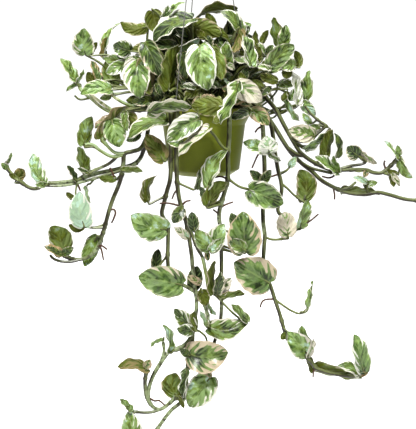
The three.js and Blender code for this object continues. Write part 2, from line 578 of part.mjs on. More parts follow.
// The blade alone, or with its stalk as one closed skin. Both faces of the blade
// have the same triangles, and its corners come in pairs, one on each face.
function leafGeometry(leaf, stalkPoints) {
  const rows = leaf.length < SMALL_LEAF ? SHORT_ROWS : ROWS;
  const middle = rows.slice(0, -1).flatMap((t) => [-1, 0, 1].map((side) => leafPoint(leaf, side, t)));
  middle.push(leafPoint(leaf, 0, 1));
  const count = middle.length;
  const half = leaf.normal.clone().multiplyScalar(BLADE_T / 2);
  const places = [
    ...middle.map((point) => point.clone().add(half)),
    ...middle.map((point) => point.clone().sub(half)),
  ];
  const faces = [];
  for (let row = 0; row + 2 < rows.length; row += 1) {
    const [left, centre, right] = [3 * row, 3 * row + 1, 3 * row + 2];
    faces.push([left, centre, left + 3], [centre, centre + 3, left + 3]);
    faces.push([centre, right, centre + 3], [right, right + 3, centre + 3]);
  }
  faces.push([count - 4, count - 3, count - 1], [count - 3, count - 2, count - 1]);
  const edges = new Set(faces.flatMap(([a, b, c]) => [`${a},${b}`, `${b},${c}`, `${c},${a}`]));
  const lower = faces.map(([a, b, c]) => [a + count, c + count, b + count]);
  const rims = [];
  for (const edge of edges) {
    const [a, b] = edge.split(',').map(Number);
    const atBase = a < 3 && b < 3;
    if (!edges.has(`${b},${a}`) && !(atBase && stalkPoints.length > 0)) {
      rims.push([a, a + count, b], [b, a + count, b + count]);
    }
  }
  const triangles = [...faces, ...lower, ...rims];
  if (stalkPoints.length > 0) {
    const rings = stalkRings(leaf, stalkPoints);
    const first = places.length;
    places.push(...rings.flat());
    const end = places.length - 3;
    triangles.push([first, first + 2, first + 1]);
    for (let ring = first; ring < end; ring += 3) {
      for (const [a, b] of [[0, 1], [1, 2], [2, 0]]) {
        triangles.push([ring + a, ring + b, ring + a + 3], [ring + b, ring + b + 3, ring + a + 3]);
      }
    }
    const [top, right, left] = [end, end + 1, end + 2];
    triangles.push([top, 1, 0], [top, 2, 1], [top, right, 2], [right, 2 + count, 2],
      [right, 1 + count, 2 + count], [right, left, 1 + count], [left, count, 1 + count],
      [left, 0, count], [left, top, 0]);
  }
  const geometry = new THREE.BufferGeometry().setFromPoints(places);
  geometry.setIndex(triangles.flat());
  return geometry;
}

// A leaf and its stalk, which comes in behind the blade, under it or over it,
// and is part of its skin. Where all three ways would pass through the blade,
// the stalk is joined to it as a second solid.
function leafSolid(leaf, points) {
  const blade = solidOf(leafGeometry(leaf, []));
  const neck = leaf.base.clone().addScaledVector(leaf.along, -NECK / 2);
  for (const rise of [0, -DETOUR, DETOUR]) {
    const detour = neck.clone().addScaledVector(leaf.along, -NECK).addScaledVector(leaf.normal, rise);
    const way = rise === 0 ? [...points, neck] : [...points, detour, neck];
    if (blade.intersect(tube(way, STALK_R, 3)).volume() === 0) {
      return { blade, whole: solidOf(leafGeometry(leaf, way)) };
    }
  }
  return { blade, whole: blade.add(tube([...points, leaf.base, leafPoint(leaf, 0, 0.09)], STALK_R, 3)) };
}

// The row of a leaf, moved toward the eye
function nearer(row, shift) {
  return row.map((value, index) => (index === 5 || index === 6 ? value + shift : value));
}

// Where a stalk leaves its stem: the point of the routes that the view shows
// nearest to the leaf, moved back up the stem by a few pixels
function nodeOn(routes, leafBase, back) {
  let best = null;
  for (const route of routes) {
    for (let i = 0; i + 1 < route.length; i += 1) {
      const [start, end] = [route[i], route[i + 1]];
      const step = [end[0] - start[0], end[1] - start[1]];
      const away = [leafBase[0] - start[0], leafBase[1] - start[1]];
      const reach = away[0] * step[0] + away[1] * step[1];
      const share = Math.min(1, Math.max(0, reach / (step[0] ** 2 + step[1] ** 2)));
      const gap = Math.hypot(away[0] - share * step[0], away[1] - share * step[1]);
      if (best === null || gap < best.gap) {
        best = { gap, route, i, share };
      }
    }
  }
  const { route, i, share } = best;
  const length = Math.hypot(route[i + 1][0] - route[i][0], route[i + 1][1] - route[i][1]);
  const along = Math.max(0, i + share - back / length);
  const first = Math.floor(along);
  return route[first].map((value, axis) => value + (along - first) * (route[first + 1][axis] - value));
}

// A leaf on a vine, with its stalk rooted in the nearest stem
function vineLeaf(row, order, routes) {
  const leaf = leafFrame(row);
  const root = spot(nodeOn(routes, row, NODE_STEP * (1 + 3 * share(order, 0.618))));
  const reach = root.distanceTo(leaf.base);
  if (reach < SAGGING) {
    return leafSolid(leaf, [reach < NECK ? root.addScaledVector(leaf.along, -NECK) : root]);
  }
  const middle = root.clone().lerp(leaf.base, 0.5);
  middle.z -= 0.08 * reach;
  return leafSolid(leaf, [root, middle]);
}

// Where a crown stalk leaves the clump of stems, on the side of its leaf
function clumpRoot(base, order) {
  const spread = (6 + (CLUMP_R - 12) * share(order, 0.618)) / Math.hypot(base.x, base.y);
  return new THREE.Vector3(base.x * spread, base.y * spread, SOIL_Z + 2);
}

// A crown stalk rises from the clump and arches over to its leaf
function archedLeaf(leaf, order) {
  const root = clumpRoot(leaf.base, order);
  if (leaf.base.z < RIM_Z + OVER_LIP) {
    const lip = leaf.base.clone().setZ(0).setLength(RIM_R + OVER_LIP).setZ(RIM_Z + OVER_LIP);
    const bend = lip.clone().multiplyScalar(0.75).setZ(RIM_Z + 3 * OVER_LIP);
    return leafSolid(leaf, [root, bend, lip]);
  }
  const peak = root.clone().lerp(leaf.base, 0.62);
  peak.z = Math.max(leaf.base.z, RIM_Z + 34) + OVER_LIP;
  const arch = new THREE.QuadraticBezierCurve3(root, peak, leaf.base);
  return leafSolid(leaf, [root, arch.getPoint(0.35), arch.getPoint(0.75)]);
}

function crownLeaf(row, order, routes) {
  const leaf = leafFrame(row);
  const shown = STALK_ROUTES[`${row[0]},${row[1]}`];
  const onSpray = row[0] < 85 && row[1] > 55;
  if (onSpray) {
    return vineLeaf(row, order, routes);
  }
  if (shown) {
    const points = shown.map(spot);
    return leafSolid(leaf, [clumpRoot(points[0], order), ...points]);
  }
  return archedLeaf(leaf, order);
}

// Back and inner leaves: spread round the far side, drooping more the lower they stand
function ruledLeaf(index, shift) {
  const inner = index >= BACK_LEAVES;
  const angle = inner ? 2 * Math.PI * share(index, 0.618) : Math.PI * (0.94 * share(index, 0.618) - 0.47);
  const out = new THREE.Vector3(Math.sin(angle), Math.cos(angle), 0);
  const height = share(index, 0.755);
  const reach = shift + (inner ? 14 + 14 * share(index, 0.57) : 44 + 46 * share(index, 0.57));
  const length = 42 + 16 * share(index, 0.45);
  const rise = inner ? 0.9 : 0.9 * height - 0.6;
  const base = out.clone().multiplyScalar(reach);
  base.z = RIM_Z + (inner ? 24 + 34 * height : 32 + 58 * height);
  const along = out.clone().multiplyScalar(Math.cos(rise)).setZ(Math.sin(rise)).normalize();
  const tilt = 1.1 * (share(index, 0.33) - 0.5);
  const upright = new THREE.Vector3(0, 0, 1).addScaledVector(out, 0.6);
  const facing = upright.addScaledVector(along, -upright.dot(along)).normalize();
  const beside = along.clone().cross(facing);
  const normal = facing.multiplyScalar(Math.cos(tilt)).addScaledVector(beside, Math.sin(tilt));
  const across = along.clone().cross(normal);
  return { base, along, normal, across, length, width: 0.66 * length, bow: BOW };
}

// A main stem from its hole in the soil, over the rim and along its route
function mainStem({ soil, route }) {
  const [right, near] = soil;
  const foot = new THREE.Vector3(right, -near, SOIL_Z - ROOT_DEPTH + GAP);
  const neck = new THREE.Vector3(right, -near, SOIL_Z + 10);
  return tube([foot, neck, ...route.map(spot)], VINE_R, 4);
}

// The stems of a node, placed before any leaf
function stemsOf(name) {
  const vines = NODE_VINES[name].map((vine) => mainStem(VINES[vine]));
  const sides = SIDE_STEMS[name].map(([radius, route]) =>
    tube(route.map(spot), radius, radius > SIDE_STEM_R ? 4 : 3));
  const roots = name === 'crown_foliage' ? [clump()] : [];
  return [...roots, ...[...vines, ...sides].map((stem) => place(name, stem))];
}

function leavesOf(name) {
  const vineRoutes = NODE_VINES[name].map((vine) => VINES[vine].route);
  const routes = [...vineRoutes, ...SIDE_STEMS[name].map(([, route]) => route)];
  const leafOf = name === 'crown_foliage' ? crownLeaf : vineLeaf;
  const shown = LEAVES[name].map((row, order) =>
    clearest(name, (shift) => leafOf(nearer(row, shift), order, routes)));
  return name === 'crown_foliage' ? [...shown, ...ruledLeaves(name)] : shown;
}

function ruledLeaves(name) {
  return Array.from({ length: BACK_LEAVES + INNER_LEAVES }, (_, index) =>
    clearest(name, (shift) => archedLeaf(ruledLeaf(index, shift), index)));
}

// The close mass of stems and roots that the crown grows from
function clump() {
  const bottom = SOIL_Z - ROOT_DEPTH + GAP;
  return lathe([[0, bottom], [0.88 * CLUMP_R, bottom], [CLUMP_R, SOIL_Z - 4], [0.85 * CLUMP_R, SOIL_Z + 6],
    [0.4 * CLUMP_R, SOIL_Z + 12], [0, SOIL_Z + 13]], 12);
}

function pot() {
  const outer = [[0, 0], [FOOT_R, 0], [CHAMFER_R, CHAMFER_Z], [SHOULDER_R, SHOULDER_Z],
    [RIM_R, LIP_FOOT_Z], [RIM_R, RIM_Z]];
  const inner = [[RIM_R - WALL, RIM_Z], [RIM_R - WALL, LIP_FOOT_Z + 0.6],
    [SHOULDER_R - WALL, SHOULDER_Z + 0.6], [CHAMFER_R - WALL, CHAMFER_Z + 1.5], [FOOT_R - 1, FLOOR],
    [0, FLOOR]];
  let body = lathe([...outer, ...inner]);
  for (const azimuth of Object.values(WIRE_AZIMUTHS)) {
    const out = radial(azimuth);
    const inside = out.clone().multiplyScalar(RIM_R - 8).setZ(WIRE_HOLE_Z);
    const outside = out.clone().multiplyScalar(RIM_R + 6).setZ(WIRE_HOLE_Z);
    body = body.subtract(post(WIRE_R + BORE_GAP, inside, outside, 8));
  }
  return body;
}

// The soil fills the pot and has a plain hole for each stem and for the crown's clump
function soil() {
  let body = lathe([[0, FLOOR + GAP], [FOOT_R - 1.6, FLOOR + GAP],
    [CHAMFER_R - WALL - GAP, CHAMFER_Z + 1.7], [SHOULDER_R - WALL - GAP, SHOULDER_Z + 0.6], [SHOULDER_R + 1.6, SOIL_Z - 1], [SHOULDER_R - 8, SOIL_Z],
    [0, SOIL_Z]]);
  const bottom = SOIL_Z - ROOT_DEPTH;
  const hole = (radius, right, near, sides) => post(radius, new THREE.Vector3(right, -near, bottom),
    new THREE.Vector3(right, -near, SOIL_Z + 5), sides);
  for (const vine of Object.values(VINES)) {
    body = body.subtract(hole(VINE_R + GAP, ...vine.soil, 8));
  }
  return body.subtract(hole(CLUMP_R + 1.6, 0, 0, 16));
}

// Direction away from the axis: 0 is the front, positive turns to the right
function radial(azimuth) {
  const angle = THREE.MathUtils.degToRad(azimuth);
  return new THREE.Vector3(Math.sin(angle), -Math.cos(angle), 0);
}

// One strand: up inside the lip, out through its hole, then straight to the collar
function strand(azimuth) {
  const out = radial(azimuth);
  const at = (r, z) => out.clone().multiplyScalar(r).setZ(z);
  const points = [
    at(RIM_R - 6.2, WIRE_HOLE_Z - 5), at(RIM_R - 6.2, WIRE_HOLE_Z - 1.4), at(RIM_R - 4.6, WIRE_HOLE_Z),
    at(RIM_R + 1.6, WIRE_HOLE_Z), at(RIM_R + 3.2, WIRE_HOLE_Z + 1.6), at(RIM_R + 3.2, RIM_Z),
    at(STRAND_RING + 1.2, COLLAR_Z - 8), at(STRAND_RING, COLLAR_Z - 1),
    at(STRAND_RING, COLLAR_Z + COLLAR_BORE - GAP),
  ];
  return tube(points, WIRE_R, 6);
}

// The collar with a blind hole for each strand, and the hook that rises from it
function hook() {
  const inPlane = (x, z) => new THREE.Vector3(x, 0, z);
  const top = COLLAR_Z + COLLAR_H;
  let collar = post(COLLAR_R, inPlane(0, COLLAR_Z), inPlane(0, top), 16);
  for (const azimuth of Object.values(WIRE_AZIMUTHS)) {
    const foot = radial(azimuth).multiplyScalar(STRAND_RING).setZ(COLLAR_Z - 1);
    collar = collar.subtract(post(WIRE_R + BORE_GAP, foot, foot.clone().setZ(COLLAR_Z + COLLAR_BORE), 8));
  }
  const points = [inPlane(0, top - 3), inPlane(0, top + 2), inPlane(4, top + 6)];
  for (let step = -1; step <= HOOK_STEPS; step += 1) {
    const angle = (Math.PI * step) / HOOK_STEPS;
    points.push(inPlane(HOOK_ARC * Math.cos(angle), HOOK_Z + HOOK_ARC * Math.sin(angle)));
  }
  points.push(inPlane(-HOOK_ARC - 0.5, HOOK_Z - 6), inPlane(-HOOK_ARC - 3, HOOK_Z - 10));
  return collar.add(tube(points, HOOK_R, 6));
}

const PLASTIC = { color: 0x68743a, roughness: 0.45, metalness: 0 };
const SOIL_LOOK = { color: 0x3a2c20, roughness: 0.95, metalness: 0 };
const WIRE_LOOK = { color: 0xa9adb0, roughness: 0.35, metalness: 0.9 };
const LEAF_LOOK = { color: 0x7f9c58, roughness: 0.4, metalness: 0 };
const VINE_LOOK = { color: 0x76914f, roughness: 0.42, metalness: 0 };

// Hard parts and stems are placed first, then the leaves, node by node
const pieces = [
  { name: 'pot', solid: place('pot', pot()), look: PLASTIC },
  { name: 'soil', solid: soil(), look: SOIL_LOOK },
  { name: 'hanger_hook', solid: place('hanger_hook', hook()), look: WIRE_LOOK },
];
for (const [name, azimuth] of Object.entries(WIRE_AZIMUTHS)) {
  pieces.push({ name, solid: place(name, strand(azimuth)), look: WIRE_LOOK });
}
const plants = Object.keys(NODE_VINES).map((name) => ({ name, stems: stemsOf(name) }));
for (const { name, stems } of plants) {
  const look = name === 'crown_foliage' ? LEAF_LOOK : VINE_LOOK;
  pieces.push({ name, solid: joined([...stems, ...leavesOf(name)]), look });
}

const group = new THREE.Group();
group.name = 'hanging_pothos';
for (const { name, solid, look } of pieces) {
  const mesh = new THREE.Mesh(geometryOf(solid), new THREE.MeshStandardMaterial(look));
  mesh.name = name;
  mesh.position.z = -SEAT_Z;
  group.add(mesh);
}

export default group;
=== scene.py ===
"""Dresses a hanging pothos: waxy variegated leaves, stems, pot, potting mix and wire hanger."""
import logging
import math
import random
from dataclasses import dataclass, field
from enum import Enum
from typing import Callable, Iterable, NamedTuple

import bpy
import numpy as np
from bpy.types import Material, NodeSocket, Object, ShaderNode, ShaderNodeTree
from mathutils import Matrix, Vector, noise
from mathutils.bvhtree import BVHTree


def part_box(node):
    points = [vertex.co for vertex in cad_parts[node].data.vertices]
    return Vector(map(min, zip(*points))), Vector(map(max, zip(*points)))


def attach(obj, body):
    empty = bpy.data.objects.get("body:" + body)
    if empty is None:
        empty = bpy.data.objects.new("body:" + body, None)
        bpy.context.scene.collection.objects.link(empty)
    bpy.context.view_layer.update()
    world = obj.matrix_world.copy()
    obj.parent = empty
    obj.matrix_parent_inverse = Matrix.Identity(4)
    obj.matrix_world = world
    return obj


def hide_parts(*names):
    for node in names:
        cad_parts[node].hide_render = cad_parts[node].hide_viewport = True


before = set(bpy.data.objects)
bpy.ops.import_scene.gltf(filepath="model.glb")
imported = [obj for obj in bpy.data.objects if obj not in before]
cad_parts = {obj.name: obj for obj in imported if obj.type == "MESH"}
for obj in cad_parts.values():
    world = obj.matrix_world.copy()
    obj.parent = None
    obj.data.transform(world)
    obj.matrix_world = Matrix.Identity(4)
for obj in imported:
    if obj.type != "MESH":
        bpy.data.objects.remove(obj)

log = logging.getLogger("pothos")

Place = tuple[float, float, float]
Route = list[Place]
Colour = tuple[float, float, float]
Faces = list[tuple[int, ...]]
Profile = list[tuple[float, float]]
Groups = dict[str, ShaderNodeTree]

# The view in which the plant was measured, in pixels and millimetres
FRAME_SIZE = (416, 429)
VIEW_CENTRE = (208.0, 214.5)
FOCAL_PX = 1317.0
PITCH = math.radians(8)
EYE = Vector((6.7, -2195.8, 240.3))
AHEAD = Vector((0, math.cos(PITCH), -math.sin(PITCH)))
UPWARD = Vector((0, math.sin(PITCH), math.cos(PITCH)))
MM_PER_PX = 2200 / FOCAL_PX
SENSOR_MM = 36.0
MM_PER_M = 1000

# Heights above the pot's foot in mm; the frame's origin is the seat inside the hook
SEAT_Z = -MM_PER_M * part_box("pot")[0].z
RIM_Z = SEAT_Z + MM_PER_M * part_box("pot")[1].z
RIM_R = MM_PER_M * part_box("pot")[1].x
SOIL_Z = SEAT_Z + MM_PER_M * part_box("soil")[1].z
COLLAR_Z = RIM_Z + 430

# Forms of a blade that the solids have too, as shares of its length or width
SLIM = 0.6  # least width
FOLD = 0.25  # rise beside the rib
BOW = 0.1  # arch from base to tip
LOBE = 0.1  # reach of the lobes behind the base
WAVE = 0.05  # slow ripple

# Finer forms that only these blades have: shares again, or mm
BLADE_MM = 0.6
SCALLOP = 0.03
RUFFLE = (0.03, 0.075)
PUCKER = 0.045
CURL = 0.05
RIB_MM = 0.35

# Ways of the stalks in mm, and of their roots in pixels along the stem
NECK = 2.6
DETOUR = 4.0
OVER_LIP = 6.0
SAGGING = 14.0
CLUMP_R = 34.0
NODE_STEP = 2.5
SPRAY = (85, 55)  # left of and below this, crown leaves grow on the spray's own stems

# Leaves by rule, and the depths tried for each leaf in mm
BACK_LEAVES = 16
INNER_LEAVES = 4
CORE_LEAVES = 80
CORE_RIGHT = 45
CORE_SEED = 1200
SHIFTS = (0, 3, -3, 6, -6, 9, -9, 12, -12)

# Stems: thinning to the tip, swelling where a stalk starts, and samples in mm
TAPER = 0.2
SWELL = 0.35
SWELL_MM = 2.6
STEM_STEP = 3.0
STALK_STEP = 3.5

# Edges sharper than these angles stay creased, or are rounded
CREASE = math.radians(55)
BEVEL_FROM = math.radians(12)

# Seeds of the leaves' tints and of the crumbs
TINT_SEED = 5000
CRUMB_SEED = 31

# Where light falls on the stems from: their skin is painted paler on that side, a painted
# highlight, and darker on the far side, painted shade
LIT_SIDE = Vector((0.6, -0.3, 0.75)).normalized()


class Stem(Enum):
    """Kinds of stem, by their radius in mm."""

    VINE = 4.0
    SIDE = 3.0
    YOUNG = 3.4
    STALK = 2.35
    AERIAL = 1.9


class Look(Enum):
    """Looks of a leaf: tone from dark to pale, partly its own green and partly painted light and
    shade, share of variegation, and its hue, tan to white.
    """

    GREEN = (0.5, 0.42, 0.75)
    BRIGHT = (0.7, 0.3, 0.6)
    # DARK's low tone is painted shade
    DARK = (0.1, 0.3, 0.45)
    UNDER = (0.3, 0.38, 0.55)
    UNDER_TAN = (0.25, 0.72, 0.1)
    PALE = (0.95, 0.45, 0.85)
    TAN = (0.35, 0.74, 0.08)
    CREAM = (0.6, 0.84, 0.65)
    WHITE = (0.95, 0.9, 1.0)
    MIX = (0.45, 0.6, 0.85)
    MINT = (0.75, 0.5, 0.95)
    OLIVE = (0.42, 0.3, 0.3)
    # SHADE's tone is painted shade, for leaves in the crown's shaded heart
    SHADE = (0.0, 0.26, 0.4)
    FRESH = (0.8, 0.34, 0.75)
    BUFF = (0.3, 0.74, 0.3)
    TEAL = (0.26, 0.5, 0.97)
    # DEEP's low tone is painted shade
    DEEP = (0.02, 0.42, 0.99)
    UNDER_GRAY = (0.66, 0.3, 0.8)
    # FROSTY and FROST have tones above 1: a painted highlight, pale blue-white
    FROSTY = (1.08, 0.4, 1.0)
    LEAFY = (0.3, 0.36, 0.75)
    LEAFY_TAN = (0.28, 0.56, 0.3)
    EDGED = (0.34, 0.64, 0.32)
    FROST = (1.3, 0.38, 1.0)


class Step(Enum):
    """Steps of the even shares by which a rule varies one thing from leaf to leaf."""

    SPREAD = 0.618
    HEIGHT = 0.755
    DEPTH = 0.57
    TILT = 0.33
    LENGTH = 0.45
    LEAN = 0.47
    DROOP = 0.83


class Vine(NamedTuple):
    """A main stem: where it is rooted, right of and in front of the axis in mm, and its route."""

    soil: tuple[float, float]
    route: Route


class LeafRow(NamedTuple):
    """A leaf as measured: base and tip in pixels, the width seen, and the depths in mm.

    The drift is how far the seen middle line bulges to the right-hand side, looking from base to
    tip, and the bow how far the blade arches, both as shares of the length. The turn is the side
    that the blade rolls to.
    """

    base_x: float
    base_y: float
    tip_x: float
    tip_y: float
    seen_px: float
    base_near: float
    tip_near: float
    look: str
    drift: float = 0.0
    bow: float = BOW
    turn: int = 1


NODE_VINES: dict[str, tuple[str, ...]] = {
    "crown_foliage": (),
    "vines_left": ("left",),
    "vines_front_left": ("front_left", "front_mid"),
    "vine_front": ("front",),
    "vines_front_right": ("front_right",),
    "vines_right": ("right", "right_low"),
}

# Main stems: where each is rooted, [right of the axis, in front of it] in mm, then its route,
# as places in the view: right and down in pixels, and millimetres in front of the axis
VINES: dict[str, Vine] = {
    "left": Vine((-60, 9), [
        (159, 99, 14), (150, 111, 21), (148, 130, 22), (144, 149, 16), (137, 162, 8),
        (120, 168.5, 4), (97, 173.5, 0), (75, 180.5, -4), (60, 182.5, -6), (46, 184, -6),
        (37, 188.5, -4), (28, 187, -2), (16, 178, 0), (9, 171, 0), (6.5, 166, 0), (7.5, 161, 0),
    ]),
    "front_left": Vine((-39, 44), [
        (171, 105, 55), (171, 112, 65), (171, 125, 66), (171, 150, 62), (171, 165, 60),
        (170, 180, 58), (167, 191, 57), (164, 203, 56), (161.8, 213, 55), (164, 219, 54),
        (168, 226, 54), (168, 240, 54), (167.8, 262, 54), (170, 274, 55), (176, 281, 56),
        (184, 285.5, 56), (191, 289.5, 56), (198, 294.5, 56), (203.5, 303, 54), (207, 313, 52),
        (208.5, 325, 52),
    ]),
    "front_mid": Vine((-25, 53), [
        (177, 106, 63), (176.8, 114, 73), (176.5, 130, 74), (176.3, 150, 72), (176.5, 165, 69),
        (177, 180, 67), (178.5, 195, 66), (181.5, 208, 65), (186, 222, 64), (189, 238, 63),
        (191.5, 255, 62), (192.8, 270, 60), (194.5, 284, 57), (196.3, 298, 56), (196.3, 310, 55),
        (194.5, 322, 54), (193, 332, 53), (192.5, 342, 52), (190, 353, 51), (188, 364, 50),
        (187, 375, 50), (186.3, 388, 50), (184, 399, 50), (179, 404, 50), (172, 409.5, 50),
        (165, 418, 50), (158, 428, 50), (152, 438, 50), (147, 449, 50),
    ]),
    "front": Vine((29, 51), [
        (229, 105, 66), (229.3, 113, 75), (229.3, 125, 76), (228.8, 140, 74), (227.8, 155, 73),
        (228, 168, 71), (227.5, 180, 70), (225.5, 189, 69), (222.5, 199, 68), (219.8, 209, 67),
        (219, 217, 66), (220, 226, 65), (221, 238, 64), (221.3, 250, 62), (221.5, 262, 60),
        (221.5, 275, 58), (221.5, 290, 54), (221.5, 304, 50), (220.5, 320, 44), (216.5, 335, 40),
        (212.5, 350, 38), (210.5, 364, 38), (210, 377, 42),
    ]),
    "front_right": Vine((55, 22), [
        (244, 100, 26), (250, 101, 32), (257, 107, 38), (261, 118, 42), (263, 130, 43),
        (263.5, 145, 43), (264.5, 165, 43), (264.2, 185, 43), (263, 205, 43), (263.2, 222, 43),
        (264.8, 236, 43), (264, 248, 43), (263.6, 262, 43), (266, 275, 43), (270.5, 286, 43),
        (275, 300, 43), (280, 315, 43), (284.5, 331, 43), (288, 340, 43), (296, 349, 43),
        (305, 356.5, 43), (313, 364, 43), (317.5, 369, 43), (330, 373, 43), (345, 375.5, 43),
        (358, 375.5, 44),
    ]),
    "right": Vine((58, -3), [
        (239, 91, -4), (252, 86, -2), (262, 92, 0), (268, 100, 2), (276, 110, 4), (284, 125, 6),
        (289, 134, 6), (296, 146, 6), (301, 153, 6), (310, 160, 4), (322, 166.5, 2), (334, 170, 0),
        (352, 169.7, 0), (366, 170, 0), (373, 172.5, 0), (381, 173, 0), (387, 169, 0),
        (393, 163.5, 0), (398, 157.5, 0), (399, 152, 0),
    ]),
    "right_low": Vine((58, 14), [
        (248, 98, 17), (257, 104, 18), (265, 113, 14), (271, 122, 12), (277, 131, 10),
        (283, 141, 8), (289, 150, 4), (295, 157, 0), (303, 164.5, -4), (312, 171.5, -6),
        (321, 180, -6), (331, 186, -6), (341, 190.5, -4), (352, 193.5, -2), (366, 194.5, 0),
        (378, 192.5, 0), (390, 195, 0), (404, 199, 0), (416, 200.5, 0), (428, 202, 0),
        (438, 205, 0),
    ]),
}

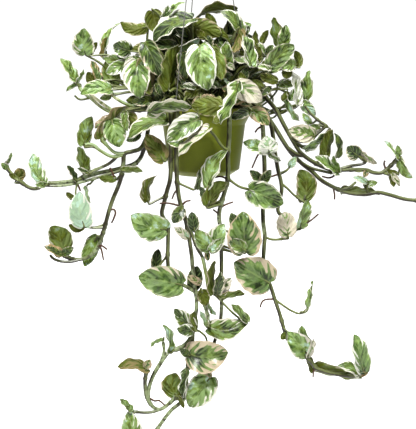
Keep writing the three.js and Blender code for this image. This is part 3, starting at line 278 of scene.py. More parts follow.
# Side stems, stalks that are seen whole, and aerial roots, node by node
SIDE_STEMS: dict[str, list[tuple[Stem, Route]]] = {
    "vines_left": [
        (Stem.VINE, [
            (147.5, 136, 21), (141, 148, 26), (132, 151.5, 26), (124.5, 154, 24), (123.3, 164, 22),
            (121.5, 176, 20), (118, 187, 18), (113, 199, 16), (109, 211, 14), (105.5, 224, 12),
            (101.5, 238, 10), (96.5, 249, 10), (89, 256.5, 10), (78, 259.5, 10), (68, 257.5, 10),
            (62.5, 254, 10),
        ]),
        (Stem.SIDE, [
            (83, 258.5, 10), (72, 261.5, 12), (62, 261.5, 13), (54, 259, 12), (50, 255, 10),
        ]),
        (Stem.YOUNG, [(126, 153.5, 24), (115, 152.5, 26), (107, 145.5, 26), (101.5, 138, 26)]),
        (Stem.YOUNG, [
            (123, 155, 24), (112, 156.5, 22), (101, 151, 22), (92, 144.5, 24), (85, 144.5, 26),
        ]),
        (Stem.SIDE, [
            (118, 155.5, 23), (110, 163, 14), (100, 168, 8), (88, 173, 4), (78, 179, -3),
        ]),
        (Stem.SIDE, [
            (138, 163, 12), (128, 167.5, 10), (118, 171.5, 9), (106, 175, 7), (95, 178.3, 5),
            (84, 181.5, 3), (72, 184.2, 0), (58, 186, -3), (45, 185.5, -5),
        ]),
        (Stem.AERIAL, [
            (110, 210, 14), (114, 209.5, 16), (115.5, 213, 17), (113.5, 219, 17), (111.5, 223, 17),
        ]),
        (Stem.AERIAL, [(98, 246, 11), (101, 245.5, 14), (104, 247, 15), (107, 249.5, 15)]),
        (Stem.AERIAL, [(99, 244.5, 11), (101.5, 250, 15), (103.5, 260, 16)]),
        (Stem.AERIAL, [(110, 168, 8), (112.5, 173, 12), (114.5, 178, 13)]),
        (Stem.AERIAL, [(75.5, 181, -4), (78, 185, 0), (80.5, 191, 1)]),
    ],
    "vines_front_left": [
        (Stem.SIDE, [
            (181, 206.5, 65), (186, 219, 69), (190.5, 230, 70), (195, 243, 70), (200, 252.5, 69),
            (204, 262, 68), (206, 275, 67), (208.5, 290, 65), (214, 294, 64), (221, 297, 63),
        ]),
        (Stem.VINE, [
            (192.6, 335, 52.5), (187, 343, 52), (179, 348.5, 52), (171, 350.5, 52), (166, 355, 52),
            (160, 364, 52), (154, 374, 52), (150, 384, 52), (148.3, 394, 52), (149.5, 402, 52),
            (154.5, 408, 52), (161, 409, 52), (168, 404.5, 52), (176, 397, 53),
        ]),
        (Stem.VINE, [(151, 405, 52), (146.5, 396, 54), (145, 382, 55), (147, 369, 56)]),
        (Stem.SIDE, [(163, 408.5, 52), (152, 412, 53), (142, 412.5, 54), (131.5, 411, 54)]),
        (Stem.SIDE, [(161, 362, 52), (164, 351, 54), (163, 341, 54)]),
        (Stem.YOUNG, [
            (202.5, 257, 70), (204.5, 266, 69), (206.5, 277, 68.5), (208.8, 289, 66.5),
        ]),
        (Stem.AERIAL, [(180, 206, 65), (172, 203.8, 63), (165, 203, 61), (159.5, 203.5, 61)]),
        (Stem.AERIAL, [(182, 205, 65), (186, 201.5, 68), (190.5, 200.5, 70)]),
        (Stem.AERIAL, [(178, 189, 66), (174.5, 193, 66), (172, 199, 66)]),
        (Stem.AERIAL, [(149, 398, 52), (155, 401, 54), (159, 400.5, 54), (165, 405.5, 52)]),
        (Stem.AERIAL, [(187.5, 367, 50), (191, 367, 52), (194, 370, 52), (197, 369.5, 52)]),
        (Stem.STALK, [(194, 330, 53), (199, 331, 50), (205, 336, 48), (207, 341, 48)]),
    ],
    "vine_front": [
        (Stem.AERIAL, [(220, 208, 67), (226, 204.5, 69), (233, 202, 70)]),
        (Stem.AERIAL, [(219, 214, 66), (215, 211, 68), (213, 209.5, 68)]),
        (Stem.AERIAL, [(228, 179, 70), (220, 176.5, 71), (212, 178.5, 71)]),
    ],
    "vines_front_right": [
        (Stem.VINE, [
            (255, 105.5, 36), (265, 112, 33), (271, 125, 28), (273.5, 140, 25), (275.5, 155, 23),
            (278, 170, 22), (281, 182, 22), (281.5, 192, 22), (279, 203, 22), (278, 211, 22),
            (283, 217, 22), (291, 222.5, 22), (300.5, 226.5, 22),
        ]),
        (Stem.STALK, [(281, 183, 22), (288, 189, 22), (294, 195, 22), (301, 199, 24)]),
        (Stem.STALK, [(264.8, 237, 43), (272, 239.5, 41), (281, 239, 36), (288, 235.5, 30)]),
        (Stem.STALK, [
            (275.5, 300, 43), (284, 306, 43), (292, 311, 43), (300, 313.5, 43), (307, 309, 43),
        ]),
        (Stem.STALK, [(279, 174, 22), (286, 171, 22), (290, 166.5, 22)]),
        (Stem.AERIAL, [(279, 174, 22), (273, 176, 23), (268, 177.5, 23)]),
        (Stem.AERIAL, [(275, 299, 43), (266, 299.5, 44), (262, 302, 45), (260, 307.5, 45)]),
        (Stem.AERIAL, [(315, 367, 43), (313.5, 372, 43), (313, 377.5, 43)]),
        (Stem.AERIAL, [(263, 126, 43), (258, 128.5, 44), (255, 132.5, 45)]),
        (Stem.AERIAL, [(264, 150, 43), (258, 155, 42), (252, 168, 42)]),
        (Stem.AERIAL, [(300, 226.5, 22), (310, 221, 24), (318.5, 214, 25)]),
    ],
    "vines_right": [
        (Stem.VINE, [(288, 148.5, 5), (297, 154.5, 5.5), (304, 155.8, 6)]),
        (Stem.SIDE, [
            (299, 161, -2), (310, 167.5, -2), (322, 171, -1), (332, 172.8, 0), (339, 170, 0),
        ]),
        (Stem.SIDE, [
            (338, 169.5, 0), (350, 166, 0), (361, 164.3, 0), (365.5, 161.5, 1), (361, 158, 2),
            (357.5, 156, 2),
        ]),
        (Stem.SIDE, [(340, 190, -4), (349, 187.5, 0), (356, 182, 2)]),
        (Stem.SIDE, [
            (290, 136, 6), (296, 140, 10), (304, 141.5, 12), (312, 138, 12), (320, 131.5, 12),
            (325, 125.5, 12), (319, 121, 12), (311, 114, 12), (305, 106, 12),
        ]),
        (Stem.SIDE, [
            (293, 141, 6), (299, 145, 8), (306, 146.5, 9), (316, 141.5, 10), (325, 134, 10),
            (330.5, 128, 10),
        ]),
        (Stem.STALK, [(368, 194.5, 0), (366.5, 188, 2), (366, 182, 2)]),
        (Stem.STALK, [
            (398, 158, 0), (401.5, 163, 1), (401, 170, 2), (397, 173.5, 2), (387, 173.5, 2),
        ]),
        (Stem.STALK, [(383, 172.5, 0), (388, 174.5, 1), (392, 174.5, 1)]),
        (Stem.AERIAL, [(333, 187, -6), (334.5, 194, -6), (334.5, 199.5, -6)]),
        (Stem.AERIAL, [(386, 169.5, 0), (384, 164, 1), (385, 160.5, 1)]),
        (Stem.AERIAL, [(337, 171.5, 0), (333, 176.5, 2), (328, 177.8, 2), (322, 176.3, 2)]),
    ],
    "crown_foliage": [
        (Stem.YOUNG, [
            (190, 100, 0), (172, 88, -6), (158, 91, -6), (146, 98, -2), (136, 104.5, 6),
            (123, 108, 12), (112, 112, 14), (101, 107, 15), (91, 98.5, 16), (83, 92.5, 16),
            (79, 86, 16), (76.5, 80.5, 16),
        ]),
        (Stem.YOUNG, [(113, 111, 15), (103, 104, 18), (92, 95.5, 20), (88, 91, 24)]),
        (Stem.YOUNG, [
            (190, 100, 4), (172, 104, 14), (157, 108.5, 20), (145, 109, 22), (127.5, 104.5, 20),
            (117, 99, 20), (109.8, 93, 22),
        ]),
        (Stem.SIDE, [
            (187, 98, 0), (165, 97, 6), (146, 94, 12), (131, 92, 16), (120, 93.5, 18),
            (111, 94, 20),
        ]),
        (Stem.SIDE, [
            (187, 104, 10), (165, 109, 24), (145, 110.5, 32), (132, 111, 38), (125, 112, 43),
        ]),
        (Stem.STALK, [(90, 98, 16), (80, 99.5, 17), (74.5, 95.5, 18)]),
    ],
}

# Leaves of each node, as rows of LeafRow
# Each row's look gives a tone that partly paints the light and shade on that leaf
LEAVES: dict[str, list[tuple]] = {
    "vines_left": [
        (42.5, 182, 33.5, 153, 15, 6, 0, "frosty", -0.1),
        (16.5, 180, 23, 168.5, 12, 0, 8, "under_tan"),
        (15.5, 178.5, 9, 173.5, 5, 0, 4, "olive", 0, 0.1, -1),
        (7, 168, 1.5, 163, 7, 0, 6, "fresh"), (7.5, 162, 11.5, 152.5, 3.5, 0, 0, "fresh"),
        (45, 185, 35.5, 184.5, 7, -5, 4, "fresh"), (75.5, 179.5, 67.5, 165.5, 6, -3, 6, "dark"),
        (84.5, 172.5, 79, 146, 12, 3, 14, "under_gray", 0, 0.1, -1),
        (84.5, 144.5, 91, 116, 15, 26, 30, "under_gray", -0.04),
        (101.5, 138, 125, 105, 14, 26, 34, "under_tan"),
        (112, 121.5, 119.5, 147, 23, 30, 38, "fresh"), (87, 173, 77.5, 168, 5, 4, 6, "mix"),
        (115, 178.5, 99, 178, 8, 10, 12, "under"),
        (123, 170.5, 143, 170.5, 7, 21, 26, "under_gray"),
        (62.5, 254, 51.5, 225.5, 24, 10, 20, "under_gray", 0.11),
        (61.5, 254, 44.5, 246, 9, 10, 18, "tan"), (63.5, 253.5, 73.5, 247.5, 9, 10, 14, "dark"),
        (97, 238, 85, 266.5, 17, 3, 3, "under_gray", 0.08),
        (84, 225, 79.5, 192, 24, 14, 22, "frost", -0.06),
        (83.5, 226.5, 68.5, 225, 9.5, 14, 18, "under", -0.15),
        (74, 199, 66, 192.5, 6, 18, 20, "under"), (86.5, 187, 90, 203.5, 4, 4, 4, "pale"),
    ],
    "vines_front_left": [
        (163.5, 159.5, 146, 134.5, 19, 50, 44, "under_tan"),
        (148, 201, 156, 175, 9.5, 58, 62, "under", -0.17),
        (182, 209, 173, 223, 13, 67, 71, "dark"), (187, 237.5, 174.5, 227, 9, 65, 69, "cream"),
        (194.5, 229.5, 191.5, 212, 12, 66, 62, "dark"),
        (165, 229, 131, 215.5, 27, 56, 66, "fresh", -0.11),
        (155.5, 268, 158.5, 249, 11, 48, 46, "dark", -0.04),
        (180.5, 284.5, 138.5, 276.5, 31, 57, 64, "bright"),
        (193.5, 288, 197, 266, 16, 54, 46, "dark"), (199.5, 283, 187.5, 276, 8, 58, 60, "tan"),
        (213.5, 292.5, 213.5, 260, 8, 66, 72, "under"), (217, 293, 221, 272, 11, 66, 72, "dark"),
        (218, 293.5, 230.5, 281, 12, 66, 72, "edged", 0, 0.1, -1),
        (202, 291, 206, 306, 13, 62, 64, "under"), (222, 298, 245, 293, 7, 63, 60, "olive"),
        (206, 299, 216, 316, 5, 58, 58, "pale"),
        (209, 327.5, 248, 321, 21.5, 53, 60, "fresh", 0.15, 0.1, -1),
        (247, 321.5, 231.5, 304, 9, 59, 56, "green"), (192, 328, 174.5, 309, 17, 56, 62, "teal"),
        (192, 331, 177, 329, 13, 56, 62, "teal", 0, 0.1, -1),
        (195, 329, 193.5, 311, 9, 60, 63, "under"), (206.5, 325, 200, 311, 6, 54, 54, "pale"),
        (189, 354, 228, 352.5, 33, 54, 60, "buff", 0.1, 0.1, -1),
        (190, 356, 212, 377, 14, 54, 60, "tan", 0, 0.1, -1),
        (188.5, 355, 180, 349, 8.5, 53, 54, "dark"), (187, 371, 182, 398, 7.5, 52, 54, "deep"),
        (177, 396.5, 174, 372.5, 22, 54, 58, "olive", -0.15),
        (178, 397, 184, 408, 5, 54, 55, "under"),
        (147, 369, 117.5, 368, 12, 56, 62, "under_tan", 0.22, 0.2),
        (146, 367.5, 150, 359.5, 9, 56, 56, "tan"),
        (168.5, 351, 163.5, 324.5, 7.5, 53, 56, "pale", 0.1, 0.15),
        (163, 340.5, 150, 348, 4.5, 54, 54, "pale", 0.12, 0.2),
        (171.5, 350, 171.5, 341, 6.5, 53, 55, "tan"), (131.5, 411, 120, 399, 7, 54, 57, "fresh"),
        (134, 446, 129, 411, 23, 60, 55, "mint", 0, 0.1, -1),
        (196, 188, 200, 170, 6, 68, 68, "green"), (209.5, 249, 224, 224, 20, 73, 78, "fresh"),
        (209, 249, 196, 230, 17, 72, 75, "bright"), (210, 250, 221, 239, 9, 76, 79, "pale"),
        (207, 252, 208, 261, 6, 72, 73, "tan"), (154, 436, 140, 446, 12, 50, 54, "mix"),
        (147, 449, 145, 470, 14, 50, 56, "green"), (219, 293, 231, 278, 13, 60, 66, "cream"),
    ],
    "vine_front": [
        (208, 129.5, 177.5, 155, 9, 90, 96, "cream"),
        (209, 186, 226.5, 149.5, 15.5, 84, 79, "mint", -0.1, 0.1, -1),
        (208, 205, 226.5, 181.5, 15, 76, 80, "olive", -0.1),
        (208, 205, 199.5, 187, 10, 76, 80, "dark", 0.12, 0.1, -1),
        (250, 190, 283.5, 203.5, 26, 62, 68, "leafy"),
        (245, 251.5, 243, 212, 34, 64, 72, "leafy_tan"),
        (241.5, 234, 231, 213.5, 15, 68, 75, "dark", 0, 0.1, -1),
        (244.5, 249.5, 229, 240, 14, 65, 70, "leafy"), (210, 377.5, 189, 407, 29, 43, 50, "pale"),
    ],
    "vines_front_right": [
        (252, 111, 269, 125, 15, 46, 53, "tan", -0.08),
        (267, 150, 243.5, 142, 14.5, 48, 54, "pale"), (269, 151.5, 267, 136, 20, 47, 53, "white"),
        (268, 151.5, 281, 161.5, 6, 46, 46, "mix"), (262, 182, 250, 170.5, 10, 46, 52, "dark"),
        (262, 182, 271, 170, 10, 46, 52, "dark", 0, 0.1, -1),
        (288, 235.5, 284.5, 211.5, 20, 30, 12, "cream"),
        (304, 199.5, 300, 169, 21, 24, 30, "under", 0.15),
        (300.5, 226, 308, 200, 12, 22, 28, "fresh"), (302, 227, 290, 234, 5, 22, 24, "pale"),
        (268.5, 282.5, 234.5, 262.5, 37, 47, 57, "edged"),
        (266.5, 283, 253, 293.5, 11, 45, 48, "white"),
        (306.5, 310.5, 311.5, 280.5, 4.5, 43, 43, "bright", 0.09, 0.12, -1),
        (307, 353.5, 288, 332, 23, 50, 60, "pale"),
        (305.5, 353, 301, 326, 15, 42, 46, "mint", 0.05, 0.1, -1),
        (308, 356, 314, 339, 6, 45, 46, "cream"), (286, 333.5, 281, 339.5, 7, 43, 46, "under"),
        (318, 368.5, 362.5, 376.5, 12, 44, 50, "under", 0.06),
        (357.5, 374.5, 338, 365.5, 11, 45, 50, "mint", 0.13),
        (363, 370, 355, 334.5, 18, 45, 50, "mint"), (359, 374.5, 369.5, 368.5, 9, 44, 46, "tan"),
        (290, 166.5, 296, 157, 8, 22, 24, "pale"), (308, 357, 312, 373.5, 7, 46, 50, "under"),
    ],
    "vines_right": [
        (313.5, 136, 289, 129.5, 18, 13, 20, "cream"), (306, 148.5, 328, 132, 8.5, 9, 12, "mint"),
        (325, 156, 331.5, 129, 12, 6, 12, "olive"),
        (336.5, 156.5, 335, 133, 7.5, 3, 8, "teal", 0.1),
        (337.5, 172, 315.5, 156, 10.5, 4, 14, "mint"),
        (338.5, 171.5, 333, 156, 8, 4, 12, "mix", 0, 0.1, -1),
        (358, 156, 347, 147, 16, 2, 4, "dark"),
        (360, 152.5, 376.5, 164.5, 6.5, 2, 2, "cream", -0.06),
        (397.5, 158, 385, 140.5, 4, 0, 3, "mint"), (399.5, 154.5, 397.5, 145.5, 7, 0, 4, "fresh"),
        (401, 160, 412, 178.5, 9.5, 1, 5, "fresh", 0.1),
        (397, 173.5, 386.5, 170.5, 6, 2, 3, "under"), (391, 174.5, 394, 187, 7, 1, 4, "under"),
        (392, 174.5, 400, 186, 6, 1, 4, "cream", 0, 0.1, -1),
        (366, 182, 353.5, 177, 7, 2, 5, "pale"), (366, 184.5, 377.5, 182.5, 7.5, 2, 4, "pale"),
        (367, 171, 364, 177, 6, 1, 3, "tan"), (344, 191.5, 380, 193.5, 7, -3, 3, "olive"),
        (310, 123, 302.5, 113.5, 8, 12, 14, "pale"), (319, 128, 310, 125.5, 7, 12, 14, "mix"),
        (320, 124.5, 329, 127.5, 5, 10, 10, "under"), (426, 202, 433, 190, 10, 0, 5, "mix"),
        (438, 205, 452, 212, 10, 0, 6, "green"),
    ],
    "crown_foliage": [
        (85.5, 53.5, 84, 28.5, 22, -5, 5, "fresh", -0.08), (90, 53, 97, 42, 7, -5, -5, "under"),
        (106.5, 56.5, 119.5, 22.5, 7, -10, -18, "mint", -0.15, 0.1, -1),
        (146, 27, 120, 23, 13, -4, 0, "under", -0.12), (152.5, 11.5, 158, 33, 20, 2, 8, "under"),
        (130, 51, 113, 45.5, 17.5, 16, 18, "teal"), (124, 62, 104, 58.5, 13, 16, 22, "fresh"),
        (124, 64, 106, 73, 13, 16, 22, "mint"), (140, 63, 125, 60, 13, 24, 34, "fresh"),
        (137, 61, 140, 98, 27, 34, 46, "mix", 0.05),
        (144, 61, 149, 95, 18, 30, 40, "under_tan", 0, 0.1, -1),
        (146, 44, 161, 76, 20, 26, 34, "dark"), (146, 45, 131.5, 50.5, 9, 8, 10, "under"),
        (75.5, 80, 61, 58, 10, 16, 22, "bright"), (77, 81, 84, 69.5, 4, 16, 16, "pale"),
        (77.5, 84, 66, 91, 5, 16, 18, "mint"), (109.8, 90, 80.5, 93.5, 15, 22, 32, "fresh", 0.12),
        (110, 96.5, 100, 98.5, 7, 20, 24, "bright"), (95, 85, 87.5, 72, 12, 8, 6, "under"),
        (98, 79, 91.5, 60.5, 8, 6, 4, "tan"), (113, 86, 107, 60, 19, 0, -6, "olive"),
        (150, 100, 132, 102, 11, 30, 38, "dark"), (162.5, 21, 168.5, 5.5, 8, 0, 2, "mint"),
        (169.5, 17, 185, 2, 5.5, 2, 2, "mint", -0.14, 0.25, -1),
        (192, 19.5, 152.5, 40.5, 17, 26, 33, "deep", 0.1),
        (234, 11.5, 193.5, 21, 9, 4, 6, "under", 0.13, 0.2, -1),
        (214, 25, 206, 13, 9, 0, 0, "under"), (188.5, 28, 222, 34, 20, 20, 28, "olive", -0.06),
        (241, 33, 221, 10.5, 13, 14, 16, "deep", 0.1), (240, 33, 250, 27, 12, 10, 14, "green"),
        (240, 30, 232, 53, 10, 20, 24, "under_tan", -0.08),
        (235, 43, 218.5, 27.5, 6, 8, 10, "under"),
        (229, 64, 226.5, 41.5, 14, 26, 34, "green", -0.08),
        (200, 47.5, 208, 90, 30, 56, 66, "mint", 0.05),
        (213, 48, 221.5, 80, 17, 50, 60, "olive", -0.05, 0.1, -1),
        (211, 72, 208, 88, 7, 57, 60, "white"),
        (168.5, 89, 177, 44.5, 16.5, 44, 38, "under", -0.02),
        (175, 46, 152, 44.5, 11, 18, 22, "dark"), (179.5, 50, 200, 39.5, 9, 32, 28, "pale"),
        (183, 54, 186, 79, 12, 28, 32, "dark"), (210, 46, 208, 35.5, 9, 14, 14, "dark"),
        (198.5, 89.5, 184, 96, 12, 62, 68, "under"), (195, 87, 182.5, 85, 7, 62, 66, "mix"),
        (150.5, 112, 191.5, 108, 13, 74, 80, "mix", -0.17),
        (156, 112, 148.5, 103, 7, 44, 48, "green"), (166, 121, 128, 137, 15, 46, 54, "green", 0.1),
        (197, 120, 167, 141, 21, 82, 88, "mix", 0.06),
        (181, 143, 167, 141, 10, 84, 88, "green", 0, 0.1, -1),
        (109, 118, 94.5, 128, 8, 12, 14, "tan"), (125, 112.5, 127, 131, 8, 44, 50, "fresh"),
        (126, 112, 139, 136, 13, 40, 44, "under_tan"), (139, 134, 126.5, 141, 10, 42, 46, "dark"),
        (224, 106.5, 191, 106, 19, 72, 80, "olive"), (214, 99, 200, 97, 7, 62, 68, "tan"),
        (200, 99, 192, 107, 8, 66, 72, "tan"), (237, 85, 219, 123.5, 11.5, 70, 90, "mix", -0.07),
        (227, 108, 213, 123.5, 9, 84, 90, "under"),
        (235, 86, 262, 101, 21, 56, 64, "cream", -0.05), (238, 90, 250, 103, 9, 50, 54, "green"),
        (250, 104.5, 238.5, 103, 6, 52, 54, "tan"), (249, 111.5, 231, 118.5, 10, 62, 68, "dark"),
        (229, 90, 222, 88, 7, 50, 54, "tan"), (231, 91, 225, 97, 8, 50, 52, "under"),
        (229, 85.5, 223.5, 78, 3, 44, 44, "pale"),
        (279, 46, 274.5, 17, 12, -6, -2, "olive", -0.05, 0.1, -1),
        (283, 46, 286, 25, 13, -6, -2, "bright", 0, 0.1, -1),
        (269, 68, 294.5, 45, 19.5, 28, 22, "bright", -0.07),
        (299, 65.5, 295, 50.5, 9, 8, 8, "under", 0.1), (294.5, 64.5, 279, 66, 13, 18, 22, "pale"),
        (289, 70, 284, 78, 11, 14, 16, "under"), (279.5, 84, 294.5, 84.5, 10, 4, 2, "mint", -0.05),
        (306.5, 99.5, 308.5, 70.5, 12.5, -8, -4, "fresh", 0.03, 0.1, -1),
        (290, 99, 297.5, 88, 9, 2, 4, "mint"), (297.5, 103.5, 293, 70.5, 9, 8, 0, "white"),
        (302.5, 102.5, 315.5, 115.5, 12, -8, -3, "pale"),
        (285.5, 96, 298.5, 121.5, 6.5, 2, 8, "bright"), (258, 47, 255, 30.5, 6, 4, 4, "under"),
        (266, 54, 259, 43, 5, 6, 8, "mix"), (268, 53, 273, 45, 9, 8, 10, "green"),
        (254, 64, 260, 47, 11, 22, 16, "olive"), (251, 64.5, 244.5, 34, 13, 36, 27, "mint"),
        (247, 61, 239, 50, 10, 20, 22, "under"), (256, 65.5, 230.5, 57.5, 7.5, 36, 40, "mix"),
        (243, 79, 247, 67, 9, 30, 34, "dark"), (276.5, 80.5, 259.5, 75, 10, 16, 20, "olive"),
        (270, 69, 257, 66, 6, 26, 28, "cream"), (231, 57, 240, 49, 5, 26, 26, "white"),
        (228, 64, 235, 70, 6, 38, 40, "cream"), (263, 68, 272, 57, 8, 14, 10, "olive"),
        (262, 87, 252, 80, 8, 18, 22, "olive"), (270, 88, 262, 96, 7, 14, 18, "dark"),
        (287, 92, 282, 101, 6, 2, 6, "under"), (244, 84, 240, 72, 8, 34, 30, "olive"),
        (172, 34, 178, 22, 9, 6, 2, "dark"), (205, 38, 196, 30, 8, 10, 14, "olive"),
        (226, 44, 219, 36, 8, 10, 8, "fresh"), (262, 42, 268, 30, 7, 0, -4, "under"),
        (255, 55, 249, 44, 9, 12, 10, "dark"), (136, 70, 128, 82, 11, 20, 24, "olive"),
        (158, 84, 163, 96, 10, 34, 38, "dark"), (200, 96, 188, 100, 9, 50, 56, "under"),
        (244, 96, 233, 104, 9, 46, 52, "tan"), (103.5, 56, 106.5, 37, 6.5, -12, -18, "under_tan"),
        (151, 97, 126, 101, 12, 0, 4, "olive"), (153, 107, 131, 110, 10, 0, 4, "shade"),
    ],
}

# Stalks that the view shows, by the place of their leaf base
STALK_ROUTES: dict[tuple[float, float], Route] = {
    (85.5, 53.5): [(122, 84, -4), (108, 69.5, -6), (97, 61, -6)],
    (106.5, 56.5): [(152, 84, -6), (124, 82, -10), (106, 68, -14)],
    (146, 27): [(160, 70, -6), (148, 46, -8)],
    (208, 129.5): [(228.6, 151, 74), (222, 146, 80), (215, 136, 87)],
    (109.8, 90): [(150, 92, 12), (131, 88.5, 18)],
    (110, 96.5): [(150, 96, 14), (130, 92.5, 18)],
    (279.5, 84): [(243, 98, -16), (258, 106, -12), (268, 101, -10), (277, 90.5, -4)],
    (306.5, 99.5): [(243, 99, -20), (262, 112, -14), (278, 108, -12), (292, 106, -10)],
    (302.5, 102.5): [(243, 100, -24), (262, 114, -17), (280, 111, -15), (295, 108, -12)],
    (285.5, 96): [(243, 96, -12), (266, 92, -10), (277, 88.5, -4)],
    (290, 99): [(243, 101, -28), (270, 118, -16), (281, 108, -10)],
    (297.5, 103.5): [(243, 102, -32), (276, 113, -16), (288, 110, -6)],
}


def spot(place: Place) -> Vector:
    """Brings a point of the view to its place beside the pot.

    Args:
        place: right and down in pixels, and how far in front of the pot's axis in mm.

    Returns:
        The point in mm, with the pot's foot at height 0.
    """
    right, down, near = place
    ray = AHEAD + Vector(((right - VIEW_CENTRE[0]) / FOCAL_PX, 0, 0))
    ray += UPWARD * ((VIEW_CENTRE[1] - down) / FOCAL_PX)
    return EYE + ray * ((-near - EYE.y) / ray.y)


def share(index: int, step: Step) -> float:
    """Even shares between 0 and 1 that never repeat."""
    return (index * step.value) % 1


def metres(points: Iterable[Vector]) -> list[Vector]:
    """Points from mm above the pot's foot to the frame's metres."""
    return [Vector((p[0], p[1], p[2] - SEAT_Z)) / MM_PER_M for p in points]


def outline(t: np.ndarray) -> np.ndarray:
    """Half-width of a leaf along its length, as a share of its widest half."""
    return 1.54 * (t + 0.012) ** 0.3 * np.clip(1 - t**1.7, 0, 1) ** 0.7


def turned_to(facing: Vector, along: Vector, angle: float) -> Vector:
    """A leaf's normal: squared to its length, then turned about it."""
    facing = (facing - along * along.dot(facing)).normalized()
    return facing * math.cos(angle) + along.cross(facing) * math.sin(angle)


@dataclass
class Leaf:
    """One leaf's place, turn and size in mm."""

    base: Vector
    along: Vector
    normal: Vector
    length: float
    width: float
    look: Look
    seed: int
    bow: float = BOW
    sway: float = 0.0

    @property
    def across(self) -> Vector:
        """The direction from the leaf's left margin to its right one."""
        return self.along.cross(self.normal)

    def bulge(self, t: np.ndarray | float) -> np.ndarray | float:
        """A swelling from base to tip, highest in the middle, where it is the length."""
        return 4 * self.length * t * (1 - t)

    def ripple(self, side: np.ndarray | float, t: np.ndarray | float) -> np.ndarray | float:
        """The slow ripple that lifts one margin where it lowers the other."""
        return WAVE * self.width * side * np.sin(2 * math.pi * (1.5 * t + 0.1))

    def coarse(self, side: float, t: float) -> Vector:
        """A point of the middle surface: side from -1 to 1, t from 0 at the base to 1."""
        x = side * 0.5 * self.width * float(outline(np.array(t)))
        y = self.length * (t - LOBE * abs(side) * (1 - t) ** 3)
        z = FOLD * abs(x) + self.bow * self.bulge(t) + float(self.ripple(side, t))
        x += self.sway * self.bulge(t)
        return self.base + self.across * x + self.along * y + self.normal * z

    def surface(self, side: np.ndarray, t: np.ndarray) -> np.ndarray:
        """The finer surface: rounded lobes, puckered veins, a ruffled edge and a curled tip.

        Args:
            side: places across the blade, from -1 to 1.
            t: places along the blade, from 0 at its base to 1 at its tip.

        Returns:
            One row of x, y, z in mm for each place.
        """
        draw = random.Random(self.seed)
        phase = draw.random()
        turn = 2 * math.pi
        edge = np.abs(side)
        scallops = edge * np.sin(turn * (4.1 * t + 3 * phase + 0.4 * np.sign(side)))
        x = side * 0.5 * self.width * outline(t) * (1 + SCALLOP * scallops)
        lobe = 1.05 * np.sin(0.62 * math.pi * edge)
        y = self.length * (t - LOBE * lobe * (1 - t) ** 3.4)
        body = np.clip(outline(t) / 0.45, 0, 1)
        waves = turn * (draw.uniform(1.8, 3.2) * t + phase + draw.uniform(-0.3, 0.3) * side)
        ruffle = draw.uniform(*RUFFLE) * edge**2.5 * np.sin(waves)
        veins = np.sin(turn * (6.5 * t - 1.9 * edge + phase)) * edge * (1 - edge**2)
        z = FOLD * np.abs(x) + self.bow * self.bulge(t) + body * self.ripple(side, t)
        z += body * self.width * (ruffle + PUCKER * veins)
        z -= RIB_MM * np.exp(-((x / 0.9) ** 2))
        z -= CURL * self.length * np.clip((t - 0.72) / 0.28, 0, 1) ** 2
        x = x + self.sway * self.bulge(t)
        axes = np.array([self.across, self.along, self.normal])
        return np.stack([x, y, z], axis=1) @ axes + np.array(self.base)


def leaf_in_view(row: LeafRow, seed: int, shift: float) -> Leaf:
    """A leaf whose outline, seen from the eye, has the length and width measured.

    Args:
        row: the leaf as measured.
        seed: number that its small variations are drawn from.
        shift: how far the whole leaf is moved toward the eye, in mm.

    Returns:
        The leaf.
    """
    base = spot((row.base_x, row.base_y, row.base_near + shift))
    along = spot((row.tip_x, row.tip_y, row.tip_near + shift)) - base
    length = along.length
    along.normalize()
    seen = row.seen_px * MM_PER_PX
    width = max(seen, SLIM * length)
    facing = (EYE - base).normalized()
    normal = turned_to(facing, along, row.turn * math.acos(seen / width))
    if row.look.startswith(("under", "olive")):
        normal.negate()
    beside = along.cross(turned_to(facing, along, 0))
    drift = row.drift - row.bow * normal.dot(beside)
    bow = row.bow + drift * normal.dot(beside)
    sway = drift * along.cross(normal).dot(beside)
    return Leaf(base, along, normal, length, width, Look[row.look.upper()], seed, bow, sway)


class Thicket:
    """What stands already, so that a new leaf can be set clear of it."""

    def __init__(self) -> None:
        """Starts with nothing standing."""
        self.items: list[tuple[str, BVHTree, np.ndarray, np.ndarray]] = []

    def place(self, node: str, corners: list[Vector], faces: Faces) -> None:
        """Adds a shape of a node."""
        low, high = np.min(corners, axis=0), np.max(corners, axis=0)
        self.items.append((node, BVHTree.FromPolygons(corners, faces), low, high))

    def crossings(self, corners: list[Vector], faces: Faces, own: str | None) -> int:
        """Counts the faces that cross others.

        Args:
            corners: the shape's corners in mm.
            faces: its faces.
            own: a node whose shapes don't count, or None.

        Returns:
            How many pairs of faces cross.
        """
        low, high = np.min(corners, axis=0), np.max(corners, axis=0)
        tree = BVHTree.FromPolygons(corners, faces)
        return sum(
            len(tree.overlap(other))
            for node, other, least, most in self.items
            if node != own and np.all(low <= most) and np.all(high >= least)
        )


def blade_faces(leaf: Leaf) -> tuple[list[Vector], Faces]:
    """A leaf's blade with few faces, for finding what it crosses."""
    corners = [leaf.coarse(side, t) for t in (0, 0.3, 0.68) for side in (-1, 0, 1)]
    faces: Faces = []
    for a in (0, 1, 3, 4):
        faces += [(a, a + 1, a + 3), (a + 1, a + 4, a + 3)]
    return [*corners, leaf.coarse(0, 1)], [*faces, (6, 7, 9), (7, 8, 9)]


